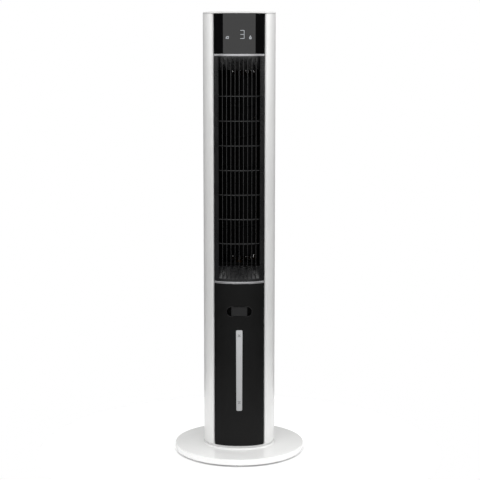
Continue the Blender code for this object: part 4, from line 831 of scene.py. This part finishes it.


# Air path and plumbing: the bay's roof, the trough, the pipes, the impeller and the pad's
# frame are moulded in dark grey polypropylene, a waxy plastic with a soft sheen. The duct is
# matte black ABS with its colour painted almost black as painted shade, so that no light
# comes back out of it.

grey_plastic = moulded("dark_grey_polypropylene", ("2E2F30", "363738"), (0.45, 0.55), 0.003, 0.00002)
dress(["tank_bay_roof", "water_trough", "riser_pipe", "pad_frame", "pump_pipe", "pump_impeller"],
      grey_plastic)
dress(["air_duct"], shade_black)


# Circuit boards: glass fibre under green solder mask, with copper tracks that show through it.
# They are screwed in behind the lens, the keys and the rear cover. The rows of tracks are
# 2.8 mm apart. The digit's light guide is moulded in black ABS.

board_green, board_shader, place = begin_finish("green_circuit_board", "0F4A2A", 0.35)
add_node(board_green, "TexBrick", {"Vector": place, "Color1": linear("0E4527"), "Color2": linear("12502F"),
                                   "Mortar": linear("2C7A48"), "Scale": 90.0, "Mortar Size": 0.03},
         into=board_shader.inputs["Base Color"])
dress(["display_board", "button_board", "main_board"], board_green)
dress(["digit_module"], plain_black)


# Rear intake: a white ABS grille with two columns of slots, clipped in between the covers.
# Behind its slots lies the dust filter, a sheet of woven nylon, and both come off with the pad.

SLOT_ROWS = 22
SLOT_BAR = 0.006
SLOT_MARGIN = 0.009
SLOT_END = 0.032
SLOT_HEIGHT = 0.010

intake_low, intake_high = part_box("rear_grille")
intake = make_shape("rear_intake_grille", *curved_plate(intake_high.x, (0.0, COVER_WALL),
                                                        (intake_low.z, intake_high.z), 1, 48))
slot_width = intake_high.x - SLOT_MARGIN - SLOT_BAR / 2
slot_pitch = (intake_high.z - SLOT_END - SLOT_HEIGHT - intake_low.z - SLOT_END) / (SLOT_ROWS - 1)
slots = []
for row in range(SLOT_ROWS):
    z = intake_low.z + SLOT_END + row * slot_pitch
    for side in (1, -1):
        xs = sorted((side * SLOT_BAR / 2, side * (SLOT_BAR / 2 + slot_width)))
        outline = rounded((xs[0], z), (xs[1], z + SLOT_HEIGHT), SLOT_HEIGHT / 2 - 0.0001, 6)
        slots.append(along_y(outline, 0.0, TOOL_REACH))
join(intake, make_shape("slots", *gather(slots)))
settle(intake, shell_white, "rear_door", ["rear_grille"], COVER_EDGE)

# Woven nylon mesh: thin dark threads every 1 mm, drawn every 2 mm, with open holes between.
THREAD_PITCH = 0.002
WAVE_SIZE = 0.1 * math.pi     # a wave texture at scale 1 repeats after this length

mesh_black, mesh_shader, place = begin_finish("woven_nylon_mesh", "1C1C1E", 0.6)
threads_across = add_node(mesh_black, "TexWave", {"Vector": place, "Scale": WAVE_SIZE / THREAD_PITCH},
                          bands_direction="X")
threads_up = add_node(mesh_black, "TexWave", {"Vector": place, "Scale": WAVE_SIZE / THREAD_PITCH},
                      bands_direction="Z")
weave = add_node(mesh_black, "Math", {0: threads_across.outputs["Fac"], 1: threads_up.outputs["Fac"]},
                 operation="MAXIMUM")
add_node(mesh_black, "MapRange", {"Value": weave.outputs["Value"], "From Min": 0.55, "From Max": 0.75},
         into=mesh_shader.inputs["Alpha"])
dress(["dust_filter"], mesh_black)


# Cooling pad: sheets of waved, treated paper, glued crest to crest with their waves slanting
# up and down in turn. Air and water pass through the block, which stands in a plastic frame.

SHEET_PITCH = 0.0065
SHEET_WALL = 0.0006
WAVE_LENGTH = 0.013
WAVE_STEPS = 6
DEPTH_STEPS = 10
FIBRE_SIZE = 1 / 300

# Treated cellulose: brown stiffened paper, fibrous and matte, darker where it is stiffer. Its
# fibres lie in tufts of about 3 mm.
pad_paper, paper_shader, place = begin_finish("treated_cellulose_paper", "3C2B1B", 0.9, specular=0.2)
fibres = add_node(pad_paper, "TexNoise", {"Vector": place, "Scale": 1 / FIBRE_SIZE, "Detail": 6.0})
add_node(pad_paper, "ValToRGB", {"Fac": fibres.outputs["Fac"]},
         stops=[(0.35, "302215"), (0.65, "483521")], into=paper_shader.inputs["Base Color"])
pad_low, pad_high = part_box("cooling_pad")
sheet_count = int((pad_high.x - pad_low.x) / SHEET_PITCH)
ring_count = math.ceil((pad_high.z - pad_low.z) / WAVE_LENGTH * WAVE_STEPS)
swing = SHEET_PITCH / 2 - SHEET_WALL / 2
sheets = []
for i in range(sheet_count):
    middle = (pad_low.x + pad_high.x) / 2 + (i - (sheet_count - 1) / 2) * SHEET_PITCH
    rings = []
    for k in range(ring_count + 1):
        z = pad_low.z + (pad_high.z - pad_low.z) * k / ring_count
        line = []
        for step in range(DEPTH_STEPS + 1):
            y = pad_low.y + (pad_high.y - pad_low.y) * step / DEPTH_STEPS
            slanted = z + (y if i % 2 else -y)
            line.append((middle + swing * math.sin(2 * math.pi * slanted / WAVE_LENGTH), y))
        rings.append([(x - SHEET_WALL / 2, y, z) for x, y in line]
                     + [(x + SHEET_WALL / 2, y, z) for x, y in line[::-1]])
    sheets.append(loft(rings))
pad_block = make_shape("waved_paper_pad", *gather(sheets))
settle(pad_block, pad_paper, "rear_door", ["cooling_pad"])


# Cord gland: a round bush, moulded in black ABS and pressed into the lower cover, where a
# supply cord would pass. Its flange and its bore have soft edges.

GLAND_FLANGE = 0.009
GLAND_OUTER = 0.006
GLAND_BORE = 0.0035
FLANGE_EDGE = 0.0009
FLANGE_CHAMFER = 0.0005
BORE_EDGE = 0.0008

flange_back = -half_depth - CAD_GAP
flange_face = -gland_high.y
gland_profile = ([(GLAND_BORE, -gland_low.y), (GLAND_OUTER, -gland_low.y), (GLAND_OUTER, flange_back),
                  (GLAND_FLANGE - FLANGE_CHAMFER, flange_back)]
                 + arc((GLAND_FLANGE - FLANGE_EDGE, flange_face + FLANGE_EDGE), FLANGE_EDGE, 0, -90, 4)
                 + arc((GLAND_BORE + BORE_EDGE, flange_face + BORE_EDGE), BORE_EDGE, -90, -180, 4))
gland = make_shape("cord_gland", *turned([(r, -z) for r, z in gland_profile], (0.0, 0.0), 48))
gland.data.transform(Matrix.Translation((0.0, 0.0, gland_middle.z)) @ Matrix.Rotation(-math.pi / 2, 4, "X"))
settle(gland, plain_black, "column", ["inlet_gland"])


# Drawer front: a black ABS plate with a spark-eroded grain. A rounded recess near its top
# takes the fingers, and a slot below it shows the water level.

DRAWER_WALL = 0.003
RECESS_WIDTH = 0.061
RECESS_HEIGHT = 0.024
RECESS_RISE = 0.3355
WINDOW_GAP = 0.0003
WINDOW_CORNER = 0.003
WINDOW_HEAD = 0.00785         # half the window's width at its top
WINDOW_FOOT = 0.0070
DRAWER_EDGE = 0.0003
BEAD_RADIUS = 0.0006

# Spark-eroded black ABS with a coarser grain: dull, with a wide soft sheen.
drawer_black = moulded("textured_black_abs", ("090909", "0D0D0D"), (0.48, 0.56), 0.0016, 0.00002,
                       specular=0.18)


def pill(centre, width, height, steps=20):
    """Gives the outline of a slot with fully round ends."""
    radius = height / 2
    straight = width / 2 - radius
    return (arc((centre[0] + straight, centre[1]), radius, -90, 90, steps)
            + arc((centre[0] - straight, centre[1]), radius, 90, 270, steps))


drawer_low, drawer_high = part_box("tank_front")
recess_z = drawer_low.z + RECESS_RISE
window_low, window_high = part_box("level_window")


def window_shape(gap):
    """Gives the window's outline, which narrows downwards, widened by a gap."""
    outline = rounded((-WINDOW_HEAD - gap, window_low.z - gap), (WINDOW_HEAD + gap, window_high.z + gap),
                      WINDOW_CORNER)
    narrowing = (1 - WINDOW_FOOT / WINDOW_HEAD) / (window_high.z - window_low.z)
    return [(x * (1 - narrowing * (window_high.z - z)), z) for x, z in outline]


drawer = make_shape("drawer_front",
                    *curved_plate(drawer_high.x, (FRONT_SETBACK, FRONT_SETBACK + DRAWER_WALL),
                                  (drawer_low.z, drawer_high.z), steps=72))
for outline in (pill((0.0, recess_z), RECESS_WIDTH, RECESS_HEIGHT), window_shape(WINDOW_GAP)):
    join(drawer, make_shape("opening", *along_y(outline, -TOOL_REACH, 0.0)))
settle(drawer, drawer_black, "tank", ["tank_front"], DRAWER_EDGE)

# The recess has a small rolled bead round it.

rim_rings = []
for i in range(13):
    turn = 2 * math.pi * i / 12
    out = BEAD_RADIUS * (1 + math.cos(turn))
    rim_rings.append([(x, -depth_at(x, FRONT_SETBACK - BEAD_RADIUS * math.sin(turn)), z)
                      for x, z in pill((0.0, recess_z), RECESS_WIDTH + 2 * out,
                                       RECESS_HEIGHT + 2 * out)])
rim = make_shape("recess_rim", *loft(rim_rings, ends=False))
settle(rim, plain_black, "tank")


# Level window: a strip of frosted polypropylene, welded to the tub behind the drawer's slot.
# Two small dark marks stand for full and empty.

STRIP_SETBACK = 0.0005
STRIP_CROWN = 0.0005
STRIP_EDGE = 0.0005
BLANK_MARGIN = 0.002          # the strip is cut from a blank that is this much larger all round
MARK_WIDTH = 0.0011
MARK_HALF = 0.0032
MARK_ARM = 0.0024
MARK_GAP = 0.0002
MARK_DROP = 0.0135
MARK_RISE = 0.0205

frosted, frosted_shader, place = begin_finish("frosted_polypropylene", "BEBFC0", 0.35)
# Painted shade: the colour runs from lighter at the top of the window to darker at its foot.
height = add_node(frosted, "SeparateXYZ", {"Vector": place})
painted_shade_fade = add_node(frosted, "MapRange", {"Value": height.outputs["Z"], "From Min": window_low.z,
                                      "From Max": window_high.z})
add_node(frosted, "ValToRGB", {"Fac": painted_shade_fade.outputs["Result"]},
         stops=[(0.0, "A9AAAB"), (1.0, "CFD0D1")], into=frosted_shader.inputs["Base Color"])
blank_low = window_low.z - BLANK_MARGIN
blank_high = window_high.z + BLANK_MARGIN


def strip_section(x):
    """Gives the strip's blank at one X, a little crowned in front."""
    crown = STRIP_CROWN * (1 - (x / WINDOW_HEAD) ** 2)
    front = -depth_at(x, FRONT_SETBACK + STRIP_SETBACK - crown)
    back = -depth_at(x, FRONT_SETBACK + DRAWER_WALL)
    return [(x, front, blank_low), (x, back, blank_low), (x, back, blank_high), (x, front, blank_high)]


window = make_shape("level_strip", *swept(WINDOW_HEAD + BLANK_MARGIN, 24, strip_section))
join(window, make_shape("cutter", *along_y(window_shape(0.0), -TOOL_REACH, 0.0)), "INTERSECT")
settle(window, frosted, "tank", ["level_window"], STRIP_EDGE)

mark_ink, _, _ = begin_finish("dark_grey_ink", "4A4B4D", 0.5)
marks = []
for z, way in ((window_high.z - MARK_DROP, 1), (window_low.z + MARK_RISE, -1)):
    arm = way * MARK_ARM
    marks += stroke([(-MARK_HALF, z - arm), (MARK_HALF, z - arm)], MARK_WIDTH)
    marks += stroke([(-MARK_ARM, z + arm), (0.0, z - way * MARK_GAP), (MARK_ARM, z + arm)], MARK_WIDTH)
mark_inset = FRONT_SETBACK + STRIP_SETBACK - STRIP_CROWN - LIT_DEPTH / 2
mark_shape = make_shape("level_marks", *on_front(marks, mark_inset))
settle(mark_shape, mark_ink, "tank")


# Finger recess: a black cup screwed behind the drawer's front, with a plate across it that
# the fingers pull on.

GRIP_RIB_HALF = 0.003
GRIP_RIB_RISE = 0.0099
GRIP_RIB_SETBACK = 0.0025
GRIP_EDGE = 0.0006

# The cup is painted almost black, as painted shade inside the finger recess.
dress(["grip_cup"], shade_black)
plate_low, plate_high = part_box("grip_plate")
plate = make_shape("grip_bar", *curved_plate(plate_high.x, (FRONT_SETBACK, FRONT_SETBACK + DRAWER_WALL),
                                             (plate_low.z, plate_high.z), steps=24))
add_to(plate, *block((-GRIP_RIB_HALF, GRIP_RIB_SETBACK - half_depth, recess_z - GRIP_RIB_RISE),
                     (GRIP_RIB_HALF, plate_high.y, recess_z + GRIP_RIB_RISE)))
settle(plate, plain_black, "tank", ["grip_plate"], GRIP_EDGE)


# Tub and pump: the tub is moulded in frosted polypropylene like the window, and the drawer's
# front is clipped to it. The pump's case is black ABS and stands on the tub's floor.

# The tub shares the window's painted shade: darker towards the bottom, lighter towards the top.
dress(["tank_tub"], frosted)
dress(["pump_body"], plain_black)


# Studio: a round white floor that melts into a white backdrop, large soft lights and a
# long lens.

LENS_LENGTH = 95.95
CAMERA_PLACE = (0.0018, -3.118, 0.962)
CAMERA_PITCH = 7.93
FLOOR_RADIUS = 0.50
FLOOR_GLOW = 0.2
AIM_HEIGHT = 0.54             # the lights look at the column's middle

floor_white, floor_shader, _ = begin_finish("white_paper_floor", "F4F4F4", 0.9, specular=0.1)
floor_shader.inputs["Emission Color"].default_value = (1.0, 1.0, 1.0, 1.0)
floor_shader.inputs["Emission Strength"].default_value = FLOOR_GLOW
floor_rim = arc((0.0, 0.0), FLOOR_RADIUS, 0, 354, 59)
floor = make_shape("floor", [(x, y, 0.0) for x, y in floor_rim], [tuple(range(len(floor_rim)))])
floor.data.materials.append(floor_white)


def softbox(name, azimuth, elevation, distance, width, height, radiance):
    """Adds a soft light that looks at the column's middle from a bearing; 0 is the front."""
    lamp = bpy.data.lights.new(name, "AREA")
    lamp.shape = "RECTANGLE"
    lamp.size = width
    lamp.size_y = height
    lamp.energy = radiance * math.pi * width * height
    light = bpy.data.objects.new(name, lamp)
    middle = Vector((0.0, 0.0, AIM_HEIGHT))
    bearing = math.radians(azimuth)
    rise = math.radians(elevation)
    away = Vector((math.sin(bearing) * math.cos(rise), -math.cos(bearing) * math.cos(rise), math.sin(rise)))
    light.location = middle + away * distance
    light.rotation_euler = away.to_track_quat("Z", "Y").to_euler()
    light.visible_camera = False
    bpy.context.collection.objects.link(light)


softbox("front_light", 0, 11, 3.8, 6.2, 2.5, 1.4)
softbox("left_light", -85, 30, 2.8, 2.4, 1.6, 2.4)
softbox("right_light", 85, 30, 2.8, 2.4, 1.6, 3.2)
softbox("top_light", 0, 58, 2.6, 2.4, 2.0, 1.45)
softbox("back_light", 180, 35, 3.0, 4.0, 2.2, 0.6)

# The sky is an even white dome that fades out towards the horizon, and plain white where seen.
DOME_LIGHT = 0.35
DOME_FADE = (0.08, 0.30)

world = bpy.data.worlds.new("studio")
world.use_nodes = True
bpy.context.scene.world = world
bearing = add_node(world, "TexCoord", {}).outputs["Generated"]
height = add_node(world, "SeparateXYZ", {"Vector": bearing}).outputs["Z"]
dome = add_node(world, "MapRange", {"Value": height, "From Min": DOME_FADE[0], "From Max": DOME_FADE[1],
                                    "To Max": DOME_LIGHT}).outputs["Result"]
seen = add_node(world, "LightPath", {}).outputs["Is Camera Ray"]
sky = world.node_tree.nodes["Background"]
sky.inputs["Color"].default_value = (1.0, 1.0, 1.0, 1.0)
add_node(world, "Math", {0: seen, 1: dome}, into=sky.inputs["Strength"], operation="MAXIMUM")

camera = bpy.data.objects.new("camera", bpy.data.cameras.new("camera"))
camera.data.lens = LENS_LENGTH
camera.data.sensor_width = 36.0
camera.location = CAMERA_PLACE
camera.rotation_euler = (math.radians(90 - CAMERA_PITCH), 0.0, 0.0)
bpy.context.collection.objects.link(camera)
bpy.context.scene.camera = camera
bpy.context.scene.view_settings.view_transform = "Standard"
